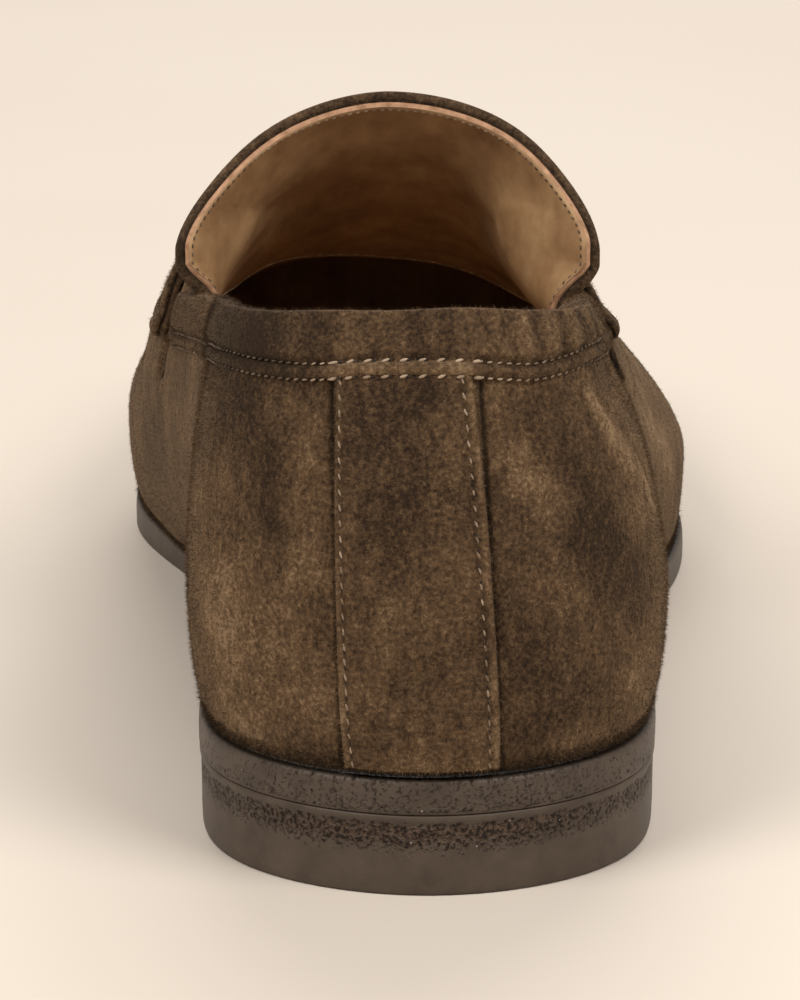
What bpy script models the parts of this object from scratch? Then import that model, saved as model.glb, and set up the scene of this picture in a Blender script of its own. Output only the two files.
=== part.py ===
"""A right-foot suede loafer, built as separate pieces around one last-shaped skin.

The shoe points its toe along +Y, its lateral side lies at +X, and it stands on the plane Z = 0.
"""

import math
from collections import namedtuple

import bmesh
import bpy
import numpy as np

MM = 0.001

# Driving sizes in millimetres: a men's loafer of about EU 42.
LENGTH = 300.0
BALL_WIDTH = 99.0
INSTEP_HEIGHT = 94.0
COLLAR_HEIGHT = 84.0
SEAT_HEIGHT = 17.4
SOLE_THICKNESS = 5.2
WALL = 2.2
GAP = 0.3

# Smaller sizes of the pieces, in millimetres.
FEATHER_INSET = 2.0
SOLE_EDGE_ROUND = 0.9
HEEL_LENGTH = 76.0
HEEL_BREAST_HOLLOW = 4.0
HEEL_INSET = 0.2
HEEL_TAPER = 0.2
HEEL_FOOT_ROUND = 0.5
HEEL_BACK_CURVE = 24.0
INSOLE_INSET = 4.8
INSOLE_THICKNESS = 2.4
BAND_HEIGHT = 7.8
BAND_THICKNESS = 0.9
BAND_TURN_IN = 4.0
BAND_FRONT = 110.5
STRIP_THICKNESS = 1.0
STRIP_TOP_GAP = 0.5
STRIP_FOOT_GAP = 1.3
STRAP_THICKNESS = 2.4
STRAP_WIDTH = 23.0
TONGUE_THICKNESS = 2.4

# From this place of a section on, every arch turns into an ellipse, so that the ridge is round.
RIDGE_ROUND_FROM = 1.45

# How finely the skin is cut into faces.
CUTS_PER_STATION = 3
LOWER_ROWS = 4
LOWER_CROWDING = 1.5
UPPER_ROWS = 9
RING_STEP = 0.01
SKIN_STEP = 0.004
HEIGHT_SAMPLES = 401
PLACE_SAMPLES = 601
HEEL_SIDE_CUTS = 24
HEEL_BREAST_CUTS = 6
BAND_POINTS = 57
STRIP_POINTS = (7, 13)
STRAP_POINTS = (30, 5)
TONGUE_POINTS = (33, 10)

# One row for each station along a side of the last. y is a share of LENGTH, sole is half the sole's
# width there and swell is how far the upper's widest line stands outside the sole's edge, both shares
# of BALL_WIDTH. rise is that line's height over the feather line as a share of INSTEP_HEIGHT, and
# fullness is the roundness of the arch above it: 2 is an ellipse, and less leans straight inwards.
Station = namedtuple("Station", "y sole swell rise fullness")

LATERAL = (
    Station(0.010, 0.137, 0.009, 0.18, 2.35),
    Station(0.037, 0.252, 0.011, 0.18, 2.10),
    Station(0.080, 0.325, 0.013, 0.18, 1.75),
    Station(0.140, 0.347, 0.014, 0.18, 1.55),
    Station(0.210, 0.346, 0.015, 0.18, 1.50),
    Station(0.293, 0.338, 0.015, 0.18, 1.50),
    Station(0.383, 0.348, 0.008, 0.18, 1.48),
    Station(0.473, 0.388, 0.002, 0.17, 1.48),
    Station(0.553, 0.440, 0.000, 0.16, 1.50),
    Station(0.627, 0.463, 0.000, 0.15, 1.48),
    Station(0.700, 0.448, -0.003, 0.15, 1.55),
    Station(0.780, 0.412, -0.006, 0.14, 1.76),
    Station(0.853, 0.349, -0.009, 0.13, 2.05),
    Station(0.917, 0.259, -0.010, 0.13, 2.25),
    Station(0.970, 0.123, -0.010, 0.13, 2.30),
)
MEDIAL = (
    Station(0.010, 0.137, 0.009, 0.18, 2.35),
    Station(0.037, 0.252, 0.011, 0.18, 2.20),
    Station(0.080, 0.325, 0.013, 0.19, 2.00),
    Station(0.140, 0.345, 0.016, 0.20, 1.90),
    Station(0.210, 0.332, 0.032, 0.22, 1.85),
    Station(0.293, 0.308, 0.074, 0.27, 1.85),
    Station(0.383, 0.306, 0.125, 0.32, 1.70),
    Station(0.473, 0.343, 0.143, 0.35, 1.80),
    Station(0.553, 0.417, 0.103, 0.30, 1.90),
    Station(0.627, 0.503, 0.036, 0.21, 2.00),
    Station(0.700, 0.540, 0.004, 0.16, 2.00),
    Station(0.780, 0.511, -0.003, 0.14, 2.10),
    Station(0.853, 0.463, -0.007, 0.13, 2.20),
    Station(0.917, 0.398, -0.010, 0.13, 2.25),
    Station(0.970, 0.286, -0.010, 0.13, 2.30),
)
HEEL_BACK = Station(0.0, 0.0, 0.009, 0.18, 2.40)
TOE_TIP = Station(1.0, -0.086, -0.010, 0.13, 2.30)

# The line over the top of the last: y as a share of LENGTH, x as a share of BALL_WIDTH, z as a share
# of INSTEP_HEIGHT. Behind the tongue it is the last's cone, which the collar opening cuts away.
Ridge = namedtuple("Ridge", "y x z")
RIDGE = (
    Ridge(0.153, -0.036, 1.190),
    Ridge(0.293, -0.048, 1.140),
    Ridge(0.383, -0.058, 1.065),
    Ridge(0.440, -0.060, 0.992),
    Ridge(0.500, -0.061, 0.876),
    Ridge(0.567, -0.063, 0.745),
    Ridge(0.633, -0.066, 0.642),
    Ridge(0.700, -0.070, 0.566),
    Ridge(0.773, -0.075, 0.510),
    Ridge(0.830, -0.081, 0.478),
    Ridge(0.867, -0.084, 0.470),
)

# Height of the topline, as a share of COLLAR_HEIGHT, from the back of the heel to the throat.
Topline = namedtuple("Topline", "y z")
TOPLINE = (
    Topline(0.000, 1.000),
    Topline(0.037, 0.976),
    Topline(0.080, 0.956),
    Topline(0.140, 0.932),
    Topline(0.210, 0.881),
    Topline(0.293, 0.824),
    Topline(0.350, 0.774),
    Topline(0.383, 0.754),
    Topline(0.413, 0.778),
    Topline(0.453, 0.860),
    Topline(0.507, 0.970),
)

# Underside of the outsole over the floor, in millimetres: heel, shank, flat tread, toe spring.
Under = namedtuple("Under", "y z")
UNDERSIDE = (
    Under(0.000, SEAT_HEIGHT - SOLE_THICKNESS),
    Under(0.255, SEAT_HEIGHT - SOLE_THICKNESS),
    Under(0.367, 8.6),
    Under(0.467, 3.1),
    Under(0.553, 0.0),
    Under(0.713, 0.0),
    Under(0.833, 2.1),
    Under(0.927, 6.2),
    Under(1.000, 10.5),
)

# The saddle strap's middle line from an end to the top of the instep: height and place along the shoe.
STRAP_END_Z = 54.5
STRAP_END_Y = 127.0
STRAP_TOP_Y = 152.0

# The tongue: the ends of its hidden front edge, then its rim. The rim is an arch down to its widest
# place and turns in below it to hide inside the collar; its rows are across as a share from the top
# to the foot, distance from the rim's middle, y and z, in millimetres.
TONGUE_FRONT_TOP_Y = 172.0
TONGUE_FRONT_SIDE_Y = 142.0
TONGUE_FOOT_Z = 55.0
TONGUE_FRONT_CURVE = 1.5
TONGUE_LIP_REACH = 0.34
TONGUE_LIP_CURVE = 1.6
TONGUE_GAP = 1.7
RIM_MIDDLE_X = -6.5
RIM_TOP_Y = 131.0
RIM_TOP_Z = 94.0
RIM_ARCH_SHARE = 0.72
RIM_FULLNESS = 1.72
Rim = namedtuple("Rim", "across out y z")
RIM_TURN = (
    Rim(0.72, 34.4, 115.0, 69.5),
    Rim(0.79, 32.4, 114.2, 66.3),
    Rim(0.86, 27.4, 113.4, 63.0),
    Rim(0.93, 26.0, 113.0, 59.0),
    Rim(1.00, 25.6, 113.0, 55.0),
)

# The back strip: middle and half width at the collar seam and at the sole.
STRIP_TOP_X = -3.6
STRIP_TOP_HALF = 10.5
STRIP_FOOT_X = -0.9
STRIP_FOOT_HALF = 10.7


def profile(rows, y):
    """Smooth height over y through (y, value) rows, which never swings past a row."""
    knots = np.array([row[0] for row in rows], float)
    values = np.array([row[1] for row in rows], float)
    steps = np.diff(knots)
    rates = np.diff(values) / steps
    slopes = np.zeros(len(knots))
    slopes[0], slopes[-1] = rates[0], rates[-1]
    for i in range(1, len(knots) - 1):
        if rates[i - 1] * rates[i] > 0:
            before, after = 2 * steps[i] + steps[i - 1], steps[i] + 2 * steps[i - 1]
            slopes[i] = (before + after) / (before / rates[i - 1] + after / rates[i])
    y = np.clip(np.asarray(y, float), knots[0], knots[-1])
    i = np.clip(np.searchsorted(knots, y, side="right") - 1, 0, len(steps) - 1)
    h = steps[i]
    f = (y - knots[i]) / h
    start, end = (1 + 2 * f) * (1 - f) ** 2 * values[i], f * f * (3 - 2 * f) * values[i + 1]
    return start + end + f * (1 - f) ** 2 * h * slopes[i] + f * f * (f - 1) * h * slopes[i + 1]


def ring_rows():
    """The stations as one closed ring: heel back, lateral side, toe tip, medial side."""

    def row(station, side):
        return (side * station.sole * BALL_WIDTH, station.y * LENGTH, station.swell * BALL_WIDTH,
                station.rise * INSTEP_HEIGHT, station.fullness)

    lateral = [row(station, 1) for station in LATERAL]
    medial = [row(station, -1) for station in reversed(MEDIAL)]
    return np.array([row(HEEL_BACK, 1), *lateral, row(TOE_TIP, 1), *medial])


RING = ring_rows()
KNOTS = len(RING)
SIDE_KNOTS = KNOTS // 2


def ring_bends():
    """Second derivatives that make a closed cubic spline through the ring's rows."""
    system = 4 * np.eye(KNOTS) + np.roll(np.eye(KNOTS), 1, axis=1) + np.roll(np.eye(KNOTS), -1, axis=1)
    return np.linalg.solve(system, 6 * (np.roll(RING, 1, axis=0) - 2 * RING + np.roll(RING, -1, axis=0)))


RING_BENDS = ring_bends()


def on_ring(t):
    """x, y, swell, rise and fullness at ring places t: 0 is the heel back, SIDE_KNOTS the toe tip."""
    t = np.mod(np.asarray(t, float), KNOTS)
    i = np.floor(t).astype(int) % KNOTS
    f = (t - np.floor(t))[..., None]
    j = (i + 1) % KNOTS
    bend = ((1 - f) ** 3 - (1 - f)) * RING_BENDS[i] / 6 + (f ** 3 - f) * RING_BENDS[j] / 6
    return (1 - f) * RING[i] + f * RING[j] + bend


def outward(t):
    """Unit vector in plan that points out of the sole's outline at t."""
    run = (on_ring(np.asarray(t) + RING_STEP) - on_ring(np.asarray(t) - RING_STEP))[..., :2]
    normal = np.stack([run[..., 1], -run[..., 0]], axis=-1)
    return normal / np.linalg.norm(normal, axis=-1, keepdims=True)


def underside(y):
    return profile([(row.y * LENGTH, row.z) for row in UNDERSIDE], y)


def sole_top(y):
    return underside(y) + SOLE_THICKNESS


def ridge(y):
    """The point over the top of the last at y; past its two ends the sections fan about its end points."""
    y = np.clip(y, RIDGE[0].y * LENGTH, RIDGE[-1].y * LENGTH)
    x = profile([(row.y * LENGTH, row.x * BALL_WIDTH) for row in RIDGE], y)
    z = profile([(row.y * LENGTH, row.z * INSTEP_HEIGHT) for row in RIDGE], y)
    return np.stack([x, y, z], axis=-1)


def edge(t, inset=0.0):
    """The sole's outline in plan, drawn in by inset."""
    return on_ring(t)[..., :2] - inset * outward(t)


def skin(t, s):
    """The upper's outer skin: s is 0 at the feather line, 1 at the widest line and 2 at the ridge."""
    t, s = np.broadcast_arrays(np.asarray(t, float), np.asarray(s, float))
    at = on_ring(t)
    y, swell, rise, fullness = at[..., 1], at[..., 2], at[..., 3], at[..., 4]
    feather = edge(t, FEATHER_INSET)
    widest = edge(t) + swell[..., None] * outward(t)
    feather_z = sole_top(y) + GAP
    widest_z = feather_z + rise
    top = ridge(y)
    low = np.clip(s, 0, 1)
    out = np.sqrt(1 - (1 - low) ** 2)[..., None]
    angle = np.clip(s - 1, 0, 1) * math.pi / 2
    rounding = np.clip((s - RIDGE_ROUND_FROM) / (2 - RIDGE_ROUND_FROM), 0, 1)
    power = fullness + (2 - fullness) * rounding ** 2 * (3 - 2 * rounding)
    inward = np.cos(angle) ** (2 / power)
    upward = np.sin(angle) ** (2 / power)
    lower = feather + (widest - feather) * out
    upper = top[..., :2] + (widest - top[..., :2]) * inward[..., None]
    plan = np.where((s <= 1)[..., None], lower, upper)
    z = np.where(s <= 1, feather_z + rise * low, widest_z + (top[..., 2] - widest_z) * upward)
    return np.concatenate([plan, z[..., None]], axis=-1)


def skin_normal(t, s):
    """Unit normal of the skin, pointing out of the shoe."""
    t, s = np.broadcast_arrays(np.asarray(t, float), np.asarray(s, float))
    below_ridge = np.minimum(s, 2 - SKIN_STEP)
    along = skin(t + SKIN_STEP, s) - skin(t - SKIN_STEP, s)
    up = skin(t, below_ridge + SKIN_STEP) - skin(t, below_ridge - SKIN_STEP)
    normal = np.cross(along, up)
    return normal / np.linalg.norm(normal, axis=-1, keepdims=True)


def raised(t, s, by):
    """The skin moved out by a distance, or in where it is negative."""
    return skin(t, s) + np.asarray(by)[..., None] * skin_normal(t, s)


def s_at_height(t, z):
    """Where on the section at t the skin reaches height z; 2 where the ridge is lower than that."""
    t, z = np.broadcast_arrays(np.asarray(t, float), np.asarray(z, float))
    places = np.linspace(0, 2, HEIGHT_SAMPLES)
    heights = skin(t[..., None], places)[..., 2]
    columns = heights.reshape(-1, HEIGHT_SAMPLES)
    found = [np.interp(height, column, places) for height, column in zip(z.ravel(), columns)]
    return np.array(found).reshape(t.shape)


def topline_s(t):
    """Where the topline cuts the section at t; 2 in front of the throat, where the vamp is closed."""
    y = on_ring(t)[..., 1]
    z = profile([(row.y * LENGTH, row.z * COLLAR_HEIGHT) for row in TOPLINE], y)
    return np.where(y >= TOPLINE[-1].y * LENGTH, 2.0, s_at_height(t, z))


def t_at(y, side):
    """The ring place of a side, 1 lateral or -1 medial, at y along the shoe."""
    places = np.linspace(0, SIDE_KNOTS, PLACE_SAMPLES)
    t = np.interp(y, on_ring(places)[:, 1], places)
    return t if side > 0 else KNOTS - t


def ring_places():
    return np.arange(KNOTS * CUTS_PER_STATION) / CUTS_PER_STATION


def add_object(name, points, faces, material):
    """One mesh object from millimetre points, with doubles merged and every face turned outwards."""
    mesh = bpy.data.meshes.new(name)
    bm = bmesh.new()
    corners = [bm.verts.new(point * MM) for point in np.asarray(points).reshape(-1, 3)]
    for face in faces:
        bm.faces.new([corners[i] for i in face])
    bmesh.ops.remove_doubles(bm, verts=bm.verts, dist=1e-6)
    bmesh.ops.recalc_face_normals(bm, faces=bm.faces)
    bm.to_mesh(mesh)
    bm.free()
    mesh.materials.append(material)
    mesh.shade_smooth()
    mesh.set_sharp_from_angle(angle=math.radians(40))
    made = bpy.data.objects.new(name, mesh)
    PARTS.objects.link(made)
    made.parent = ROOT
    return made


def grid_faces(rows, columns, closed=False):
    """Quads of a grid of points; a closed grid also joins its last row to its first."""
    faces = []
    for i in range(rows if closed else rows - 1):
        for j in range(columns - 1):
            a, b = i * columns + j, (i + 1) % rows * columns + j
            faces.append((a, b, b + 1, a + 1))
    return faces


def shell(name, grid, thickness, offset, material, closed=False):
    """An open sheet of grid points given a wall; offset -1 grows it inwards and 1 outwards."""
    rows, columns = grid.shape[:2]
    sheet = add_object(name, grid, grid_faces(rows, columns, closed), material)
    turn_outwards(sheet)
    wall = sheet.modifiers.new("wall", "SOLIDIFY")
    wall.thickness = thickness * MM
    wall.offset = offset
    wall.use_even_offset = True
    return sheet


def turn_outwards(sheet):
    """Flips an open sheet whose faces look at the inside of the shoe, judged against the last's middle."""
    mesh = sheet.data
    looks_out = 0.0
    for face in mesh.polygons:
        middle = np.array(face.center) / MM
        core = ridge(np.array(middle[1]))
        core[2] = SEAT_HEIGHT + COLLAR_HEIGHT / 4
        looks_out += face.area * float(np.dot(middle - core, face.normal))
    if looks_out < 0:
        mesh.flip_normals()


def stacked(name, loops, material):
    """A solid through rings of equal count, bottom to top, closed across by rungs from side to side."""
    count = len(loops[0])
    faces = []
    for level in range(len(loops) - 1):
        for i in range(count):
            j = (i + 1) % count
            base, over = level * count, (level + 1) * count
            faces.append((base + i, base + j, over + j, over + i))
    for base in (0, (len(loops) - 1) * count):
        for i in range(count // 2):
            rung = [i, i + 1, (count - i - 1) % count, (count - i) % count]
            faces.append([base + k for k in dict.fromkeys(rung)])
    return add_object(name, np.concatenate(loops), faces, material)


def material(name, colour, roughness):
    """A plain surface of one colour."""
    made = bpy.data.materials.new(name)
    made.use_nodes = True
    surface = made.node_tree.nodes["Principled BSDF"]
    surface.inputs["Base Color"].default_value = (*colour, 1)
    surface.inputs["Roughness"].default_value = roughness
    surface.inputs["Metallic"].default_value = 0.0
    return made


def with_z(plan, z):
    return np.concatenate([plan, np.broadcast_to(z, plan.shape[:-1])[..., None]], axis=-1)


def build_outsole(sole_rubber):
    """The full-length sole: heel seat, arched shank, flat tread and toe spring, with a rounded edge."""
    t = ring_places()
    y = on_ring(t)[:, 1]
    low, high = underside(y), sole_top(y)
    loops = (
        with_z(edge(t, SOLE_EDGE_ROUND), low),
        with_z(edge(t), low + SOLE_EDGE_ROUND),
        with_z(edge(t), high - SOLE_EDGE_ROUND),
        with_z(edge(t, SOLE_EDGE_ROUND), high),
    )
    return stacked("outsole", loops, sole_rubber)


def build_heel(sole_rubber):
    """The heel block under the seat, with a hollow breast and sides that draw in a little downwards."""
    end = t_at(HEEL_LENGTH, 1)
    around = np.linspace(-end, end, 2 * HEEL_SIDE_CUTS + 1)
    top = SEAT_HEIGHT - SOLE_THICKNESS - GAP

    def loop(inset, z):
        wall = edge(around, inset)
        across = np.linspace(0, 1, HEEL_BREAST_CUTS + 1)[1:-1, None]
        breast = wall[-1] + (wall[0] - wall[-1]) * across
        breast[:, 1] -= HEEL_BREAST_HOLLOW * np.sin(math.pi * across[:, 0])
        ring = np.concatenate([wall[HEEL_SIDE_CUTS:], breast, wall[:HEEL_SIDE_CUTS]])
        return with_z(ring, z)

    foot = HEEL_INSET + HEEL_TAPER
    loops = (loop(foot + HEEL_FOOT_ROUND, 0.0), loop(foot, HEEL_FOOT_ROUND), loop(HEEL_INSET, top))
    return stacked("heel", loops, sole_rubber)


def build_insole(lining):
    """The sock that lies on the sole inside the upper."""
    t = ring_places()
    y = on_ring(t)[:, 1]
    low = sole_top(y) + GAP
    plan = edge(t, INSOLE_INSET)
    return stacked("insole", (with_z(plan, low), with_z(plan, low + INSOLE_THICKNESS)), lining)


def build_upper(suede):
    """Vamp and quarters as one wall, open at the collar, at the throat and over the sole."""
    t = ring_places()[:, None]
    lower = np.linspace(0, 1, LOWER_ROWS + 1) ** LOWER_CROWDING
    upper = np.linspace(0, 1, UPPER_ROWS + 1)[1:]
    below = np.broadcast_to(lower, (len(t), LOWER_ROWS + 1))
    above = 1 + (topline_s(t) - 1) * upper
    s = np.concatenate([below, above], axis=1)
    return shell("upper", skin(t, s), WALL, -1, suede, closed=True)


def build_collar_band(suede):
    """The folded band that caps the topline from one strap end round the heel to the other."""
    end = t_at(BAND_FRONT, 1)
    t = np.linspace(-end, end, BAND_POINTS)[:, None]
    top = topline_s(t)
    top_z = skin(t, top)[..., 2]
    foot = s_at_height(t, top_z - BAND_HEIGHT)
    turn = s_at_height(t, top_z - BAND_TURN_IN)
    outer = [raised(t, foot + (top - foot) * share, np.full(t.shape, GAP)) for share in (0, 0.5, 1)]
    inner = [raised(t, turn + (top - turn) * share, np.full(t.shape, -WALL - GAP)) for share in (1, 0)]
    for rim in (outer[-1], inner[0]):
        rim[..., 2] += GAP
    return shell("collar_band", np.concatenate(outer + inner, axis=1), BAND_THICKNESS, 1, suede)


def build_back_strip(suede):
    """The strip up the back of the heel, from the sole to the collar band."""
    across = np.linspace(-1, 1, STRIP_POINTS[0])[:, None]
    up = np.linspace(0, 1, STRIP_POINTS[1])[None, :]
    middle = STRIP_FOOT_X + (STRIP_TOP_X - STRIP_FOOT_X) * up
    half = STRIP_FOOT_HALF + (STRIP_TOP_HALF - STRIP_FOOT_HALF) * up
    end = t_at(HEEL_BACK_CURVE, 1)
    places = np.linspace(-end, end, PLACE_SAMPLES)
    t = np.interp(middle + half * across, on_ring(places)[:, 0], places)
    top_z = skin(t, topline_s(t))[..., 2] - BAND_HEIGHT - BAND_THICKNESS - STRIP_TOP_GAP
    foot_z = SEAT_HEIGHT + STRIP_FOOT_GAP
    s = s_at_height(t, foot_z + (top_z - foot_z) * up)
    return shell("back_strip", raised(t, s, np.full(t.shape, GAP)), STRIP_THICKNESS, 1, suede)


def arch_places(y, foot_z, across):
    """Ring places and section heights over the instep: across runs from -1 at the medial foot to 1."""
    t = np.where(across > 0, t_at(y, 1), t_at(y, -1))
    foot = s_at_height(t, foot_z)
    return t, 2 - np.abs(across) * (2 - foot)


def build_strap(suede):
    """The saddle strap over the instep, whose ends stop beside the collar."""
    across = np.linspace(-1, 1, STRAP_POINTS[0])[:, None]
    over = np.linspace(-0.5, 0.5, STRAP_POINTS[1])[None, :] * STRAP_WIDTH
    y = STRAP_TOP_Y + (STRAP_END_Y - STRAP_TOP_Y) * across ** 2 + over
    t, s = arch_places(y, STRAP_END_Z, np.broadcast_to(across, y.shape))
    return shell("saddle_strap", raised(t, s, np.full(t.shape, GAP)), STRAP_THICKNESS, 1, suede)


def rim_point(across):
    """The tongue's rim: distance from its middle, y and z at a share of the way from the top to a foot."""
    widest = RIM_TURN[0]
    angle = np.clip(across / RIM_ARCH_SHARE, 0, 1) * math.pi / 2
    over = np.sin(angle) ** (2 / RIM_FULLNESS)
    up = np.cos(angle) ** (2 / RIM_FULLNESS)
    arch = (widest.out * over, widest.y + (RIM_TOP_Y - widest.y) * up, widest.z + (RIM_TOP_Z - widest.z) * up)
    turn = [profile([(row.across, value) for row, value in zip(RIM_TURN, column)], across)
            for column in list(zip(*RIM_TURN))[1:]]
    return [np.where(across < RIM_ARCH_SHARE, a, b) for a, b in zip(arch, turn)]


def build_tongue(suede):
    """The tongue under the strap: its front lies inside the vamp and its rim flares out over the collar."""
    across = np.linspace(-1, 1, TONGUE_POINTS[0])[:, None]
    back = np.linspace(0, 1, TONGUE_POINTS[1])[None, :]
    rim_out, rim_y, rim_z = rim_point(np.abs(across))
    down = np.abs(across) ** TONGUE_FRONT_CURVE
    front_y = TONGUE_FRONT_TOP_Y + (TONGUE_FRONT_SIDE_Y - TONGUE_FRONT_TOP_Y) * down
    y = front_y + (rim_y - front_y) * back
    t, s = arch_places(y, TONGUE_FOOT_Z, np.broadcast_to(across, y.shape))
    bed = raised(t, s, np.full(t.shape, -WALL - TONGUE_GAP))
    rim = np.stack([RIM_MIDDLE_X + np.sign(across) * rim_out, rim_y, rim_z], axis=-1)
    lip = np.clip((back - 1 + TONGUE_LIP_REACH) / TONGUE_LIP_REACH, 0, 1) ** TONGUE_LIP_CURVE
    grid = bed + (rim - bed[:, -1:]) * lip[..., None]
    return shell("tongue", grid, TONGUE_THICKNESS, -1, suede)


def centre_on_floor():
    """Moves the whole shoe so that the middle of its box lies over the origin."""
    bpy.context.view_layer.update()
    graph = bpy.context.evaluated_depsgraph_get()
    corners = []
    for part in PARTS.objects:
        if part.type == "MESH":
            corners.extend(part.evaluated_get(graph).bound_box)
    corners = np.array(corners)
    middle = (corners.min(axis=0) + corners.max(axis=0)) / 2
    ROOT.location = (-middle[0], -middle[1], 0)


for old in list(bpy.data.objects):
    bpy.data.objects.remove(old, do_unlink=True)
PARTS = bpy.data.collections.new("loafer")
bpy.context.scene.collection.children.link(PARTS)
ROOT = bpy.data.objects.new("loafer_origin", None)
PARTS.objects.link(ROOT)

SUEDE = material("brown suede", (0.105, 0.072, 0.050), 0.95)
SOLE_RUBBER = material("dark brown sole", (0.055, 0.042, 0.034), 0.55)
LINING = material("tan lining leather", (0.33, 0.21, 0.12), 0.6)

build_outsole(SOLE_RUBBER)
build_heel(SOLE_RUBBER)
build_insole(LINING)
build_upper(SUEDE)
build_collar_band(SUEDE)
build_back_strip(SUEDE)
build_strap(SUEDE)
build_tongue(SUEDE)
centre_on_floor()
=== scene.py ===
# %% [markdown]
# # A suede loafer for the right foot
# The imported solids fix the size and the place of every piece. In this lesson each of them is replaced
# by a finer piece of the same form: brushed suede with its nap, a lined tongue with a cut edge, sewn
# rows, and a sole edge with a rough band. The shoe is then looked at from behind and a little above.

# %% Load the solids
import math

import bmesh
import bpy
import numpy as np
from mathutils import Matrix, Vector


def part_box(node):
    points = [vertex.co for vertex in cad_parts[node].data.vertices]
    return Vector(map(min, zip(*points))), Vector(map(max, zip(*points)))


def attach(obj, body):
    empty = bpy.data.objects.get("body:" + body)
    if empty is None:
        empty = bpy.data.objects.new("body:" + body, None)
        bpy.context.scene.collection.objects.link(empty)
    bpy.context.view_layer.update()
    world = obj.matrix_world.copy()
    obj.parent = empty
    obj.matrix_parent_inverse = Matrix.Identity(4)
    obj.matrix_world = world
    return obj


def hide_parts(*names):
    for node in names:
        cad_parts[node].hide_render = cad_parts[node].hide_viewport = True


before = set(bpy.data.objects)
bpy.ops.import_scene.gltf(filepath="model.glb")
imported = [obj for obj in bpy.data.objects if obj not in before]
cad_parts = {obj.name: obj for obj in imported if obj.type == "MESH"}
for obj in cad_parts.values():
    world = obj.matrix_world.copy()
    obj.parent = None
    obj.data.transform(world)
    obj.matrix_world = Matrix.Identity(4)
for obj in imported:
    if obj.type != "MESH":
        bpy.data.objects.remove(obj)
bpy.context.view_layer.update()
MM = 0.001
print("solids:", sorted(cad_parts))

# %% [markdown]
# ## The last
# A shoe is pulled over a last, a wooden foot, and nearly every piece of it follows the last's skin.
# The skin could be sculpted, but here it is a function, so that strap, band and stitches can ask for
# a point on it and for the way out of it. The numbers are those of the solids: a ring of stations
# around the sole's outline, a ridge line over the top, the topline and the height of the sole.

# %% The last's tables, in millimetres and shares
LENGTH, BALL_WIDTH, INSTEP_HEIGHT, COLLAR_HEIGHT = 300.0, 99.0, 94.0, 84.0
SEAT_HEIGHT, SOLE_THICKNESS, WALL, GAP, FEATHER_INSET = 17.4, 5.2, 2.2, 0.3, 2.0
RIDGE_ROUND_FROM, STEP = 1.45, 0.004

# Stations of a side: y, half the sole's width, swell of the upper over it, height of the widest line,
# and the roundness of the arch above that line.
LATERAL = (
    (0.010, 0.137, 0.009, 0.18, 2.35), (0.037, 0.252, 0.011, 0.18, 2.10),
    (0.080, 0.325, 0.013, 0.18, 1.75), (0.140, 0.347, 0.014, 0.18, 1.55),
    (0.210, 0.346, 0.015, 0.18, 1.50), (0.293, 0.338, 0.015, 0.18, 1.50),
    (0.383, 0.348, 0.008, 0.18, 1.48), (0.473, 0.388, 0.002, 0.17, 1.48),
    (0.553, 0.440, 0.000, 0.16, 1.50), (0.627, 0.463, 0.000, 0.15, 1.48),
    (0.700, 0.448, -0.003, 0.15, 1.55), (0.780, 0.412, -0.006, 0.14, 1.76),
    (0.853, 0.349, -0.009, 0.13, 2.05), (0.917, 0.259, -0.010, 0.13, 2.25),
    (0.970, 0.123, -0.010, 0.13, 2.30),
)
MEDIAL = (
    (0.010, 0.137, 0.009, 0.18, 2.35), (0.037, 0.252, 0.011, 0.18, 2.20),
    (0.080, 0.325, 0.013, 0.19, 2.00), (0.140, 0.345, 0.016, 0.20, 1.90),
    (0.210, 0.332, 0.032, 0.22, 1.85), (0.293, 0.308, 0.074, 0.27, 1.85),
    (0.383, 0.306, 0.125, 0.32, 1.70), (0.473, 0.343, 0.143, 0.35, 1.80),
    (0.553, 0.417, 0.103, 0.30, 1.90), (0.627, 0.503, 0.036, 0.21, 2.00),
    (0.700, 0.540, 0.004, 0.16, 2.00), (0.780, 0.511, -0.003, 0.14, 2.10),
    (0.853, 0.463, -0.007, 0.13, 2.20), (0.917, 0.398, -0.010, 0.13, 2.25),
    (0.970, 0.286, -0.010, 0.13, 2.30),
)
HEEL_BACK = (0.0, 0.0, 0.009, 0.18, 2.40)
TOE_TIP = (1.0, -0.086, -0.010, 0.13, 2.30)

# The ridge over the last: y, x, z. The topline: y, z. The sole's underside: y, z in millimetres.
RIDGE = np.array((
    (0.153, -0.036, 1.190), (0.293, -0.048, 1.140), (0.383, -0.058, 1.065), (0.440, -0.060, 0.992),
    (0.500, -0.061, 0.876), (0.567, -0.063, 0.745), (0.633, -0.066, 0.642), (0.700, -0.070, 0.566),
    (0.773, -0.075, 0.510), (0.830, -0.081, 0.478), (0.867, -0.084, 0.470),
)) * (LENGTH, BALL_WIDTH, INSTEP_HEIGHT)
TOPLINE = np.array((
    (0.000, 1.000), (0.037, 0.975), (0.080, 0.953), (0.140, 0.924), (0.210, 0.869), (0.293, 0.811),
    (0.350, 0.762), (0.383, 0.742), (0.413, 0.768), (0.453, 0.856), (0.507, 0.970),
)) * (LENGTH, COLLAR_HEIGHT)
UNDERSIDE = np.array((
    (0.000, 12.2), (0.255, 12.2), (0.367, 8.6), (0.467, 3.1), (0.553, 0.0), (0.713, 0.0),
    (0.833, 2.1), (0.927, 6.2), (1.000, 10.5),
)) * (LENGTH, 1)
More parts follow.
